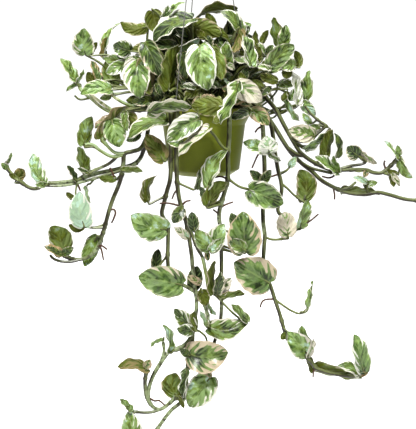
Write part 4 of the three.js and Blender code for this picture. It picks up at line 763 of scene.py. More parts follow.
def tube_faces(points: list[Vector], radius: float) -> tuple[list[Vector], Faces]:
    """A three-sided tube with few faces, for finding what a stem crosses."""
    corners: list[Vector] = []
    for before, point, after in zip([points[0], *points], points, [*points[1:], points[-1]]):
        heading = (after - before).normalized()
        beside = heading.cross(Vector((0.31, 0.9, 0.29))).normalized() * radius
        over = heading.cross(beside)
        corners += [point + beside * math.cos(a) + over * math.sin(a) for a in (0, 2.09, 4.19)]
    faces = [
        (ring + a, ring + b, ring + b + 3, ring + a + 3)
        for ring in range(0, 3 * len(points) - 3, 3)
        for a, b in ((0, 1), (1, 2), (2, 0))
    ]
    return corners, faces


def smooth_route(points: list[Vector], step: float) -> list[Vector]:
    """A smooth curve through points, sampled evenly enough for a tube.

    Args:
        points: the given points in mm.
        step: the wanted distance between samples in mm.

    Returns:
        The samples, from the first point to the last.
    """
    ends = [2 * points[0] - points[1], *points, 2 * points[-1] - points[-2]]
    samples: list[Vector] = []
    for before, start, end, after in zip(ends, ends[1:], ends[2:], ends[3:]):
        count = max(1, round((end - start).length / step))
        for t in (k / count for k in range(count)):
            pull = (end - before) * t * (1 - t) ** 2 / 2 - (after - start) * t * t * (1 - t) / 2
            samples.append(start * (1 + 2 * t) * (1 - t) ** 2 + end * t * t * (3 - 2 * t) + pull)
    return [*samples, points[-1]]


def node_on(routes: list[Route], row: LeafRow, back: float) -> Place:
    """Where a leaf's stalk leaves its stem.

    Args:
        routes: the stems' routes.
        row: the leaf as measured.
        back: how far back up the stem the stalk starts, in pixels.

    Returns:
        A place on the stem that the view shows nearest to the leaf.
    """
    best: tuple[float, Route, float] | None = None
    for route in routes:
        for i, (start, end) in enumerate(zip(route, route[1:])):
            step = (end[0] - start[0], end[1] - start[1])
            away = (row.base_x - start[0], row.base_y - start[1])
            reach = (away[0] * step[0] + away[1] * step[1]) / (step[0] ** 2 + step[1] ** 2)
            part = min(1.0, max(0.0, reach))
            gap = math.hypot(away[0] - part * step[0], away[1] - part * step[1])
            if best is None or gap < best[0]:
                best = (gap, route, max(0.0, i + part - back / math.hypot(*step)))
    _, route, along = best
    first = min(int(along), len(route) - 2)
    return tuple(a + (along - first) * (b - a) for a, b in zip(route[first], route[first + 1]))


@dataclass
class Shoot:
    """A leaf with the way of its stalk, root first, in mm."""

    leaf: Leaf
    way: list[Vector]


def with_neck(leaf: Leaf, points: list[Vector]) -> Shoot:
    """Ends a stalk behind its blade, going round the blade where it would cross it."""
    blade = BVHTree.FromPolygons(*blade_faces(leaf))
    neck = leaf.base - leaf.along * (NECK / 2)
    for rise in (0.0, -DETOUR, DETOUR):
        detour = [neck - leaf.along * NECK + leaf.normal * rise] if rise else []
        way = [*points, *detour, neck]
        if not BVHTree.FromPolygons(*tube_faces(way, Stem.STALK.value)).overlap(blade):
            break
    return Shoot(leaf, way)


def vine_shoot(leaf: Leaf, row: LeafRow, order: int, routes: list[Route]) -> Shoot:
    """A leaf on a vine, with its stalk rooted in the nearest stem."""
    seen = STALK_ROUTES.get((row.base_x, row.base_y))
    if seen:
        return with_neck(leaf, [spot(place) for place in seen])
    root = spot(node_on(routes, row, NODE_STEP * (1 + 3 * share(order, Step.SPREAD))))
    reach = (root - leaf.base).length
    if reach < SAGGING:
        return with_neck(leaf, [root - leaf.along * NECK if reach < NECK else root])
    middle = root.lerp(leaf.base, 0.5)
    middle.z -= 0.08 * reach
    return with_neck(leaf, [root, middle])


def clump_root(base: Vector, order: int) -> Vector:
    """Where a crown stalk leaves the clump of stems, on the side of its leaf."""
    reach = 6 + (CLUMP_R - 12) * share(order, Step.SPREAD)
    spread = reach / max(1.0, math.hypot(base.x, base.y))
    return Vector((base.x * spread, base.y * spread, SOIL_Z - 3))


def arched_shoot(leaf: Leaf, order: int) -> Shoot:
    """A crown leaf whose stalk rises from the clump and arches over to it."""
    root = clump_root(leaf.base, order)
    if leaf.base.z < RIM_Z + OVER_LIP:
        lip = Vector((leaf.base.x, leaf.base.y, 0)).normalized() * (RIM_R + OVER_LIP)
        bend = lip * 0.75
        lip.z, bend.z = RIM_Z + OVER_LIP, RIM_Z + 3 * OVER_LIP
        return with_neck(leaf, [root, bend, lip])
    peak = root.lerp(leaf.base, 0.62)
    peak.z = max(leaf.base.z, RIM_Z + 34) + OVER_LIP
    arch = [
        root * (1 - t) ** 2 + peak * (2 * t * (1 - t)) + leaf.base * t * t
        for t in (0, 0.25, 0.5, 0.75)
    ]
    return with_neck(leaf, arch)


def crown_shoot(leaf: Leaf, row: LeafRow, order: int, routes: list[Route]) -> Shoot:
    """A crown leaf: on the left-hand spray, on a stalk that is seen, or on an arched one."""
    if row.base_x < SPRAY[0] and row.base_y > SPRAY[1]:
        return vine_shoot(leaf, row, order, routes)
    seen = STALK_ROUTES.get((row.base_x, row.base_y))
    if seen:
        points = [spot(place) for place in seen]
        return with_neck(leaf, [clump_root(points[0], order), *points])
    return arched_shoot(leaf, order)


@dataclass(frozen=True)
class LeafRule:
    """How the leaves of a rule vary: tilt in radians, length in mm, width, looks and seeds."""

    tilt: float
    lengths: tuple[float, float]
    slim: float
    looks: tuple[Look, ...]
    first_seed: int

    def leaf(self, index: int, base: Vector, along: Vector, facing: Vector) -> Leaf:
        """The leaf of that number, at a base, with its length and its face toward two ways."""
        normal = turned_to(facing, along, self.tilt * (share(index, Step.TILT) - 0.5))
        length = self.lengths[0] + self.lengths[1] * share(index, Step.LENGTH)
        look = self.looks[index % len(self.looks)]
        return Leaf(base, along, normal, length, self.slim * length, look, self.first_seed + index)


OUTER_RULE = LeafRule(
    1.1, (42, 16), 0.66, (Look.GREEN, Look.MIX, Look.DARK, Look.GREEN, Look.CREAM), 900
)
# Core leaves mostly take dark looks: painted shade in the crown's heart
CORE_RULE = LeafRule(
    1.2, (38, 14), 0.7,
    (Look.SHADE, Look.OLIVE, Look.SHADE, Look.UNDER, Look.SHADE, Look.DARK), CORE_SEED,
)
# Core leaves right of CORE_RIGHT take paler olive and under looks: less painted shade on that side
CORE_RIGHT_RULE = LeafRule(1.2, (38, 14), 0.7, (Look.OLIVE, Look.UNDER), CORE_SEED)


def outer_leaf(index: int, shift: float) -> Leaf:
    """A leaf at the back or inside: the lower it stands, the more it droops.

    Args:
        index: its number in the rule.
        shift: how far it is moved outward, in mm.

    Returns:
        The leaf.
    """
    part, height = share(index, Step.SPREAD), share(index, Step.HEIGHT)
    if index < BACK_LEAVES:
        angle, rise, up = math.pi * (0.94 * part - 0.47), 0.9 * height - 0.6, 32 + 58 * height
        reach = shift + 44 + 46 * share(index, Step.DEPTH)
    else:
        angle, rise, up = 2 * math.pi * part, 0.9, 24 + 34 * height
        reach = shift + 14 + 14 * share(index, Step.DEPTH)
    out = Vector((math.sin(angle), math.cos(angle), 0))
    base = out * reach
    base.z = RIM_Z + up
    along = (out * math.cos(rise) + Vector((0, 0, math.sin(rise)))).normalized()
    return OUTER_RULE.leaf(index, base, along, Vector((0, 0, 1)) + out * 0.6)


def core_leaf(index: int, shift: float) -> Leaf:
    """A leaf in the shaded heart of the crown, behind those that show, its dark look painted shade.

    Args:
        index: its number in the rule.
        shift: how far it is moved toward the eye, in mm.

    Returns:
        The leaf.
    """
    height = share(index, Step.HEIGHT) ** 1.4
    right = 136 * (share(index, Step.SPREAD) - 0.5) * (1 - 0.2 * height)
    depth = 40 * share(index, Step.DEPTH) - 6 - shift
    base = Vector((right, depth, RIM_Z + 6 + 112 * height))
    lean = math.copysign(0.4 + 1.3 * share(index, Step.LEAN), right)
    along = Vector((math.sin(lean), 0.5 * share(index, Step.DROOP) - 0.35, math.cos(lean)))
    rule = CORE_RULE if right < CORE_RIGHT else CORE_RIGHT_RULE
    return rule.leaf(index, base, along.normalized(), Vector((0.4 * lean, -1, 0.5)))


def clearest(thicket: Thicket, node: str, shoot_at: Callable[[float], Shoot]) -> Shoot:
    """Tries a leaf at several depths and keeps the one that is clearest of the rest.

    Args:
        thicket: what stands already.
        node: the leaf's node.
        shoot_at: makes the shoot for a depth.

    Returns:
        The chosen shoot, which then stands too.
    """
    best: tuple[float, Shoot] | None = None
    for shift in SHIFTS:
        shoot = shoot_at(shift)
        score = thicket.crossings(*blade_faces(shoot.leaf), None) + 0.01 * abs(shift)
        score += 20 * thicket.crossings(*tube_faces([*shoot.way, shoot.leaf.base], 1.2), node)
        if best is None or score < best[0]:
            best = (score, shoot)
        if score < 1:
            break
    chosen = best[1]
    thicket.place(node, *blade_faces(chosen.leaf))
    thicket.place(node, *tube_faces([*chosen.way, chosen.leaf.base], Stem.STALK.value))
    return chosen


class Wiring:
    """Adds shader nodes to one tree and joins them up."""

    def __init__(self, tree: ShaderNodeTree) -> None:
        """Keeps the tree."""
        self.tree = tree

    def add(self, kind: str, **settings: object) -> ShaderNode:
        """Adds a node with its settings."""
        node = self.tree.nodes.new(kind)
        for name, value in settings.items():
            setattr(node, name, value)
        return node

    def feed(self, socket: NodeSocket, value: object) -> None:
        """Links a socket to another, or sets its value."""
        if isinstance(value, NodeSocket):
            self.tree.links.new(value, socket)
        elif isinstance(value, tuple) and len(value) == 3 and len(socket.default_value) == 4:
            socket.default_value = (*value, 1.0)
        else:
            socket.default_value = value

    def result(self, kind: str, *values: object, **settings: object) -> NodeSocket:
        """The first output of a new node that is fed with values in order."""
        node = self.add(kind, **settings)
        for socket, value in zip(node.inputs, values):
            self.feed(socket, value)
        return node.outputs[0]

    def math(self, operation: str, *values: object) -> NodeSocket:
        """A math node's result."""
        return self.result("ShaderNodeMath", *values, operation=operation)

    def times(self, value: object, factor: object) -> NodeSocket:
        """The product of two values."""
        return self.math("MULTIPLY", value, factor)

    def plus(self, value: object, other: object) -> NodeSocket:
        """The sum of two values."""
        return self.math("ADD", value, other)

    def scaled(self, value: object, factor: object, offset: object) -> NodeSocket:
        """A value times a factor, plus an offset."""
        return self.math("MULTIPLY_ADD", value, factor, offset)

    def mix(self, factor: object, low: object, high: object) -> NodeSocket:
        """A colour between two, by a factor."""
        node = self.add("ShaderNodeMix", data_type="RGBA")
        for place, value in ((0, factor), (6, low), (7, high)):
            self.feed(node.inputs[place], value)
        return node.outputs[2]

    def ease(
        self, value: object, low: float, high: float, start: float = 0.0, end: float = 1.0
    ) -> NodeSocket:
        """A smooth step from start to end while a value goes from low to high."""
        limits = (low, high, start, end)
        return self.result("ShaderNodeMapRange", value, *limits, interpolation_type="SMOOTHSTEP")

    def noise(self, vector: object, scale: object, detail: float, rough: float) -> NodeSocket:
        """A noise texture's value."""
        node = self.add("ShaderNodeTexNoise")
        given = {"Vector": vector, "Scale": scale, "Detail": detail, "Roughness": rough}
        for name, value in given.items():
            self.feed(node.inputs[name], value)
        return node.outputs[0]

    def vector(self, x: object, y: object, z: object) -> NodeSocket:
        """A vector from three values."""
        return self.result("ShaderNodeCombineXYZ", x, y, z)

    def split(self, vector: object, kind: str = "XYZ") -> tuple[NodeSocket, ...]:
        """The three values of a vector or colour."""
        node = self.add(f"ShaderNodeSeparate{kind}")
        self.feed(node.inputs[0], vector)
        return tuple(node.outputs)

    def bump(self, height: object, strength: float, distance: float) -> NodeSocket:
        """A normal from a height."""
        node = self.add("ShaderNodeBump")
        node.inputs["Strength"].default_value = strength
        node.inputs["Distance"].default_value = distance
        self.feed(node.inputs["Height"], height)
        return node.outputs[0]

    def use(self, group: ShaderNodeTree, **values: object) -> dict[str, NodeSocket]:
        """Places a shared group with its values, and gives its outputs by name."""
        node = self.add("ShaderNodeGroup", node_tree=group)
        for name, value in values.items():
            self.feed(node.inputs[name.replace("_", " ").capitalize()], value)
        return {socket.name: socket for socket in node.outputs}


def new_group(name: str, inputs: dict[str, str], outputs: dict[str, str]) -> tuple:
    """Starts a shared effect.

    Args:
        name: the group's name.
        inputs: each input's name and kind.
        outputs: each output's name and kind.

    Returns:
        Its tree, its wiring, its input node and its output node.
    """
    tree = bpy.data.node_groups.new(name, "ShaderNodeTree")
    for way, sockets in (("INPUT", inputs), ("OUTPUT", outputs)):
        for label, kind in sockets.items():
            tree.interface.new_socket(label, in_out=way, socket_type=f"NodeSocket{kind}")
    wiring = Wiring(tree)
    return tree, wiring, wiring.add("NodeGroupInput"), wiring.add("NodeGroupOutput")


def mottle_group() -> ShaderNodeTree:
    """Slow and fine mottling that every finish uses, on the piece's own coordinates."""
    tree, wiring, given, out = new_group(
        "mottle", {"Slow": "Float", "Fine": "Float"}, {"Slow": "Float", "Fine": "Float"}
    )
    place = wiring.add("ShaderNodeTexCoord").outputs["Object"]
    for name in ("Slow", "Fine"):
        wiring.feed(out.inputs[name], wiring.noise(place, given.outputs[name], 4.0, 0.5))
    return tree


def variegation_group() -> ShaderNodeTree:
    """Cream sectors that run out along the side veins, with the midrib and the veins."""
    tree, wiring, given, out = new_group(
        "variegation",
        {"Uv": "Vector", "Amount": "Float", "Seed": "Float"},
        {"Patch": "Float", "Blend": "Float", "Shade": "Float", "Midrib": "Float", "Veins": "Float"},
    )
    u, v, _ = wiring.split(given.outputs["Uv"])
    side = wiring.scaled(u, 2.0, -1.0)
    edge = wiring.math("ABSOLUTE", side)
    sweep = wiring.scaled(edge, -0.3, v)
    seed = wiring.times(given.outputs["Seed"], 37.0)
    where = wiring.vector(wiring.times(sweep, 2.7), wiring.times(side, 0.6), seed)
    cloud = wiring.noise(where, 2.2, 1.0, 0.5)
    flecks = wiring.noise(where, 9.0, 3.0, 0.6)
    margin = wiring.times(wiring.math("POWER", edge, 2.0), 0.72)
    lean = wiring.times(wiring.math("SINE", wiring.times(seed, 5.3)), 0.3)
    margin = wiring.plus(margin, wiring.times(side, lean))
    spread = wiring.scaled(given.outputs["Amount"], 1.25, -1.15)
    drift = wiring.scaled(cloud, 1.7, -0.85)
    drift = wiring.plus(drift, wiring.scaled(flecks, 0.4, -0.2))
    waves = wiring.math("SINE", wiring.scaled(cloud, 5.0, wiring.times(sweep, 40.0)))
    lobes = wiring.times(waves, wiring.times(edge, -0.32))
    level = wiring.plus(wiring.plus(spread, margin), wiring.plus(drift, lobes))
    rim = wiring.ease(wiring.scaled(flecks, 0.12, edge), 0.91, 0.96)
    rim = wiring.times(rim, wiring.ease(given.outputs["Amount"], 0.28, 0.45, 0.3, 1.0))
    patch = wiring.math("MAXIMUM", wiring.ease(level, -0.02, 0.03), rim)
    wiring.feed(out.inputs["Patch"], patch)
    wiring.feed(out.inputs["Blend"], wiring.ease(level, -0.2, -0.02))
    wiring.feed(out.inputs["Midrib"], wiring.ease(edge, 0.015, 0.07, 1.0, 0.0))
    inner = wiring.vector(wiring.times(sweep, 3.4), side, wiring.plus(seed, 11.0))
    wiring.feed(out.inputs["Shade"], wiring.ease(wiring.noise(inner, 1.7, 2.0, 0.55), 0.48, 0.56))
    wiring.feed(out.inputs["Veins"], wiring.times(waves, wiring.ease(edge, 0.03, 0.3)))
    return tree


@dataclass(frozen=True)
class LeafFinish:
    """Waxy leaf skin, upper or under side, with its variegation and greens by tone, partly painted
    light and shade.
    """

    name: str
    under: bool
    roughness: float
    # By tone, partly painted light and shade: dark at the low end is painted shade, frost above 1 a
    # painted highlight
    dark: Colour = (0.011, 0.021, 0.002)
    mid: Colour = (0.085, 0.115, 0.006)
    cool: Colour = (0.05, 0.11, 0.012)
    pale: Colour = (0.23, 0.345, 0.07)
    frost: Colour = (0.46, 0.64, 0.5)
    sage: Colour = (0.22, 0.33, 0.1)
    mint: Colour = (0.27, 0.4, 0.14)
    tan: Colour = (0.42, 0.29, 0.14)
    white: Colour = (0.74, 0.75, 0.63)
    rib: Colour = (0.3, 0.36, 0.13)
    back: Colour = (0.098, 0.105, 0.004)

    def material(self, groups: Groups) -> Material:
        """Builds the leaf material.

        Args:
            groups: the shared effects by name.

        Returns:
            The material.
        """
        material, wiring, shader = new_material(self.name)
        tint = wiring.add("ShaderNodeAttribute", attribute_name="leaf_tint")
        tone, amount, hue = wiring.split(tint.outputs["Color"], "Color")
        uv = wiring.add("ShaderNodeUVMap", uv_map="UVMap").outputs[0]
        marks = wiring.use(groups["variegation"], uv=uv, amount=amount, seed=tint.outputs["Alpha"])
        clouds = wiring.use(groups["mottle"], slow=55.0, fine=420.0)
        # depth: the leaf's tone, partly painted light and shade, plus slow mottling
        drift = wiring.scaled(clouds["Slow"], 3.6, -1.86)
        depth = wiring.plus(tone, drift)
        kind = wiring.math("FRACT", wiring.times(tint.outputs["Alpha"], 7.3))
        middle = wiring.mix(kind, self.mid, self.cool)
        green = wiring.mix(wiring.ease(depth, 0.0, 0.5), self.dark, middle)
        green = wiring.mix(wiring.ease(depth, 0.5, 1.15), green, self.pale)
        green = wiring.mix(wiring.ease(depth, 1.0, 1.3), green, self.frost)
        green = wiring.mix(wiring.times(marks["Blend"], 0.6), green, self.sage)
        lit = wiring.times(marks["Shade"], wiring.ease(tone, 0.1, 0.9, 0.1, 0.75))
        green = wiring.mix(lit, green, self.mint)
        ribs = wiring.ease(marks["Veins"], 0.3, 1.0, 0.0, 0.42)
        green = wiring.mix(ribs, green, self.sage)
        # Tones above 1.05 turn toward frost: a painted highlight
        green = wiring.mix(wiring.ease(tone, 1.05, 1.3, 0.0, 0.8), green, self.frost)
        cream = wiring.mix(hue, self.tan, self.white)
        colour = wiring.mix(marks["Patch"], green, cream)
        colour = wiring.mix(wiring.times(marks["Midrib"], 0.3), colour, self.rib)
        if self.under:
            colour = wiring.mix(wiring.ease(tone, 0.35, 0.9, 0.6, 0.15), colour, self.back)
        wiring.feed(shader["Base Color"], colour)
        grain = wiring.scaled(clouds["Fine"], 0.16, self.roughness - 0.08)
        wiring.feed(shader["Roughness"], grain)
        relief = wiring.scaled(marks["Veins"], -0.5 if self.under else 0.5, clouds["Fine"])
        wiring.feed(shader["Normal"], wiring.bump(relief, 1.0, 0.0015))
        shader["IOR"].default_value = 1.25 if self.under else 1.32
        shader["Coat Weight"].default_value = 0.0 if self.under else 0.3
        shader["Coat Roughness"].default_value = 0.22
        return material


@dataclass(frozen=True)
class StemFinish:
    """Stem skin: a colour from painted shade on the far side to painted light on the lit side,
    drifting a little, with fine ridges.
    """

    name: str
    low: Colour
    high: Colour
    roughness: float
    young: Colour | None = None
    gloss: float = 0.0

    def material(self, groups: Groups) -> Material:
        """Builds the stem material from the shared effects."""
        material, wiring, shader = new_material(self.name)
        clouds = wiring.use(groups["mottle"], slow=38.0, fine=600.0)
        side = wiring.add("ShaderNodeAttribute", attribute_name="lit_side").outputs["Fac"]
        drift = wiring.scaled(clouds["Slow"], 1.2, -0.6)
        # low is painted shade and high painted light, by the lit side
        colour = wiring.mix(wiring.ease(wiring.plus(side, drift), 0.48, 0.82), self.low, self.high)
        if self.young is not None:
            stretch = wiring.use(groups["mottle"], slow=9.0, fine=150.0)
            share_pale = wiring.ease(stretch["Slow"], 0.55, 0.64)
            streak = wiring.ease(stretch["Fine"], 0.35, 0.6)
            colour = wiring.mix(wiring.times(share_pale, streak), colour, self.young)
        wiring.feed(shader["Base Color"], colour)
        grain = wiring.scaled(clouds["Fine"], 0.2, self.roughness - 0.1)
        wiring.feed(shader["Roughness"], grain)
        wiring.feed(shader["Normal"], wiring.bump(clouds["Fine"], 0.3, 0.0004))
        shader["IOR"].default_value = 1.36
        shader["Coat Weight"].default_value = self.gloss
        shader["Coat Roughness"].default_value = 0.25
        return material


# On the stems, each finish's low colour is painted shade and its high colour painted light
STEM_FINISHES = (
    StemFinish(
        "vine_skin", (0.022, 0.018, 0.006), (0.13, 0.15, 0.055), 0.42, (0.28, 0.34, 0.17), 0.15
    ),
    StemFinish("stalk_skin", (0.04, 0.046, 0.008), (0.17, 0.2, 0.06), 0.42, None, 0.2),
    StemFinish("root_skin", (0.045, 0.02, 0.01), (0.1, 0.05, 0.025), 0.7),
    StemFinish("young_skin", (0.16, 0.2, 0.045), (0.34, 0.44, 0.22), 0.42, (0.65, 0.63, 0.4)),
    StemFinish("perlite", (0.55, 0.53, 0.48), (0.75, 0.73, 0.68), 0.9),
)


@dataclass(frozen=True)
class PlasticFinish:
    """Moulded pot plastic: faint flow marks and dust low down."""

    name: str = "pot_plastic"
    base: Colour = (0.145, 0.172, 0.018)
    dust: Colour = (0.165, 0.172, 0.045)
    roughness: float = 0.42

    def material(self, groups: Groups) -> Material:
        """Builds the pot material from the shared effects."""
        material, wiring, shader = new_material(self.name)
        clouds = wiring.use(groups["mottle"], slow=14.0, fine=900.0)
        _, _, height = wiring.split(wiring.add("ShaderNodeTexCoord").outputs["Object"])
        foot = wiring.ease(height, -0.586, -0.545, 1.0, 0.0)
        stains = wiring.ease(clouds["Slow"], 0.45, 0.7)
        marks = wiring.times(stains, wiring.scaled(foot, 0.3, 0.2))
        wiring.feed(shader["Base Color"], wiring.mix(marks, self.base, self.dust))
        grain = wiring.scaled(clouds["Slow"], 0.2, self.roughness - 0.1)
        wiring.feed(shader["Roughness"], grain)
        wiring.feed(shader["Normal"], wiring.bump(clouds["Fine"], 0.12, 0.0003))
        shader["IOR"].default_value = 1.2
        shader["Specular IOR Level"].default_value = 0.2
        return material


@dataclass(frozen=True)
class SoilFinish:
    """Potting mix: dark peat with paler fibres."""

    name: str = "potting_soil"
    peat: Colour = (0.018, 0.011, 0.006)
    fibre: Colour = (0.12, 0.075, 0.04)

    def material(self, groups: Groups) -> Material:
        """Builds the soil material from the shared effects."""
        material, wiring, shader = new_material(self.name)
        clouds = wiring.use(groups["mottle"], slow=120.0, fine=700.0)
        fleck = wiring.ease(clouds["Fine"], 0.5, 0.68)
        wiring.feed(shader["Base Color"], wiring.mix(fleck, self.peat, self.fibre))
        shader["Roughness"].default_value = 0.95
        height = wiring.plus(clouds["Slow"], clouds["Fine"])
        wiring.feed(shader["Normal"], wiring.bump(height, 0.9, 0.002))
        return material


@dataclass(frozen=True)
class WireFinish:
    """Galvanised wire: dull bright metal with a faint spangle."""

    name: str = "hanger_steel"
    bright: Colour = (0.4, 0.4, 0.36)
    dull: Colour = (0.2, 0.2, 0.17)

    def material(self, groups: Groups) -> Material:
        """Builds the wire material from the shared effects."""
        material, wiring, shader = new_material(self.name)
        clouds = wiring.use(groups["mottle"], slow=260.0, fine=1400.0)
        wiring.feed(shader["Base Color"], wiring.mix(clouds["Slow"], self.dull, self.bright))
        wiring.feed(shader["Roughness"], wiring.scaled(clouds["Slow"], 0.3, 0.22))
        shader["Metallic"].default_value = 0.9
        wiring.feed(shader["Normal"], wiring.bump(clouds["Fine"], 0.1, 0.0002))
        return material


def new_material(name: str) -> tuple[Material, Wiring, bpy.types.NodeInputs]:
    """A material with its wiring and the sockets of its shader."""
    material = bpy.data.materials.new(name)
    material.use_nodes = True
    wiring = Wiring(material.node_tree)
    return material, wiring, material.node_tree.nodes["Principled BSDF"].inputs


def only(*pieces: Object) -> None:
    """Selects these pieces and nothing else, and makes the first one active."""
    bpy.ops.object.select_all(action="DESELECT")
    for piece in pieces:
        piece.select_set(True)
    bpy.context.view_layer.objects.active = pieces[0]


def joined(pieces: list[Object], name: str) -> Object:
    """Joins pieces into one with that name."""
    only(*pieces)
    if len(pieces) > 1:
        bpy.ops.object.join()
    piece = bpy.context.view_layer.objects.active
    piece.name = piece.data.name = name
    return piece


def finished(piece: Object, node: str | None = None) -> Object:
    """Smooths a piece, hangs it on the frame and hides the part it stands for."""
    only(piece)
    bpy.ops.object.shade_smooth_by_angle(angle=CREASE)
    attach(piece, "root")
    if node is not None:
        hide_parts(node)
    log.info("%s: %d faces", piece.name, len(piece.data.polygons))
    return piece


def tubes(name: str, ways: list[tuple[list[Vector], list[float]]], material: Material,
          resolution: int = 2) -> Object:
    """Round stems or wires along curves.

    Args:
        name: the piece's name.
        ways: for each tube its points in mm and its radius in mm at each of them.
        material: the finish.
        resolution: steps in each quarter of the section.

    Returns:
        The tubes as one mesh.
    """
    curve = bpy.data.curves.new(name, "CURVE")
    curve.dimensions = "3D"
    curve.bevel_depth = 1 / MM_PER_M
    curve.bevel_resolution = resolution
    curve.use_fill_caps = True
    for points, radii in ways:
        spline = curve.splines.new("POLY")
        spline.points.add(len(points) - 1)
        for knot, point, radius in zip(spline.points, metres(points), radii):
            knot.co = (*point, 1.0)
            knot.radius = radius
    piece = bpy.data.objects.new(name, curve)
    bpy.context.collection.objects.link(piece)
    only(piece)
    bpy.ops.object.convert(target="MESH")
    piece = bpy.context.view_layer.objects.active
    piece.data.materials.clear()
    piece.data.materials.append(material)
    # lit_side: how far each corner faces LIT_SIDE, for painted light and painted shade on the skin
    lit_side = piece.data.attributes.new("lit_side", "FLOAT", "POINT")
    light = [0.5 + 0.5 * LIT_SIDE.dot(point.normal) for point in piece.data.vertices]
    lit_side.data.foreach_set("value", light)
    return piece


def turned(name: str, profile: Profile, sides: int) -> Object:
    """A round piece raised from a disc, ring by ring.

    Args:
        name: the piece's name.
        profile: each ring's radius and height in mm above the pot's foot.
        sides: corners in a ring.

    Returns:
        The closed piece.
    """
    radius, height = profile[0]
    bpy.ops.object.select_all(action="DESELECT")
    bpy.ops.mesh.primitive_circle_add(
        vertices=sides,
        radius=radius / MM_PER_M,
        fill_type="NGON",
        location=(0, 0, (height - SEAT_Z) / MM_PER_M),
    )
    piece = bpy.context.view_layer.objects.active
    piece.name = name
    bpy.ops.object.transform_apply(location=True)
    bpy.ops.object.mode_set(mode="EDIT")
    bpy.ops.mesh.select_all(action="SELECT")
    for wider, higher in profile[1:]:
        rise = (higher - height) / MM_PER_M
        bpy.ops.mesh.extrude_region_move(TRANSFORM_OT_translate={"value": (0, 0, rise)})
        scale = wider / radius
        centre = (0, 0, (higher - SEAT_Z) / MM_PER_M)
        bpy.ops.transform.resize(value=(scale, scale, 1), center_override=centre)
        radius, height = wider, higher
    bpy.ops.mesh.select_all(action="SELECT")
    bpy.ops.mesh.normals_make_consistent(inside=False)
    bpy.ops.object.mode_set(mode="OBJECT")
    return piece


def bevelled(piece: Object, width: float, segments: int = 3) -> Object:
    """Rounds a piece's edges, by a width in mm."""
    only(piece)
    bevel = piece.modifiers.new("rounding", "BEVEL")
    bevel.width = width / MM_PER_M
    bevel.segments = segments
    bevel.limit_method = "ANGLE"
    bevel.angle_limit = BEVEL_FROM
    bpy.ops.object.modifier_apply(modifier=bevel.name)
    return piece


@dataclass
class LeafSheet:
    """The flat sheet that every blade is shaped from."""

    columns: int = 12
    rows: int = 20

    def __post_init__(self) -> None:
        """Models the sheet once."""
        bpy.ops.object.select_all(action="DESELECT")
        bpy.ops.mesh.primitive_grid_add(
            x_subdivisions=self.columns, y_subdivisions=self.rows, size=2
        )
        self.master = bpy.context.view_layer.objects.active
        flat = np.empty(3 * len(self.master.data.vertices))
        self.master.data.vertices.foreach_get("co", flat)
        flat = flat.reshape(-1, 3)
        self.side = flat[:, 0]
        self.t = 0.5 - 0.5 * np.cos(math.pi * (flat[:, 1] + 1) / 2)

    def blade(self, leaf: Leaf) -> Object:
        """A copy of the sheet, shaped as this leaf and marked with its look."""
        mesh = self.master.data.copy()
        points = leaf.surface(self.side, self.t)
        points[:, 2] -= SEAT_Z
        mesh.vertices.foreach_set("co", (points / MM_PER_M).ravel())
        draw = random.Random(leaf.seed + TINT_SEED)
        # leaf_tint carries the look's tone, partly painted light and shade, with the variegation
        # and hue
        tone, amount, hue = leaf.look.value
        tint = (
            tone + draw.uniform(-0.2, 0.2),
            amount + draw.uniform(-0.1, 0.1),
            hue + draw.uniform(-0.12, 0.12),
            draw.random(),
        )
        marks = mesh.attributes.new("leaf_tint", "FLOAT_COLOR", "POINT")
        marks.data.foreach_set("color", np.tile(tint, len(mesh.vertices)))
        blade = bpy.data.objects.new("blade", mesh)
        bpy.context.collection.objects.link(blade)
        return blade


def foliage(name: str, blades: list[Object], skins: list[Material]) -> Object:
    """All blades of a node as one piece of closed, thin leaves.

    Args:
        name: the piece's name.
        blades: the node's blades, as open sheets.
        skins: the upper and the under side's finish.

    Returns:
        The piece.
    """
    piece = joined(blades, name)
    for skin in skins:
        piece.data.materials.append(skin)
    bpy.ops.object.mode_set(mode="EDIT")
    bpy.ops.mesh.select_all(action="SELECT")
    bpy.ops.mesh.remove_doubles(threshold=1e-5)
    bpy.ops.object.mode_set(mode="OBJECT")
    shell = piece.modifiers.new("thickness", "SOLIDIFY")
    shell.thickness = BLADE_MM / MM_PER_M
    shell.offset = 0
    shell.material_offset = 1
    bpy.ops.object.modifier_apply(modifier=shell.name)
    return piece


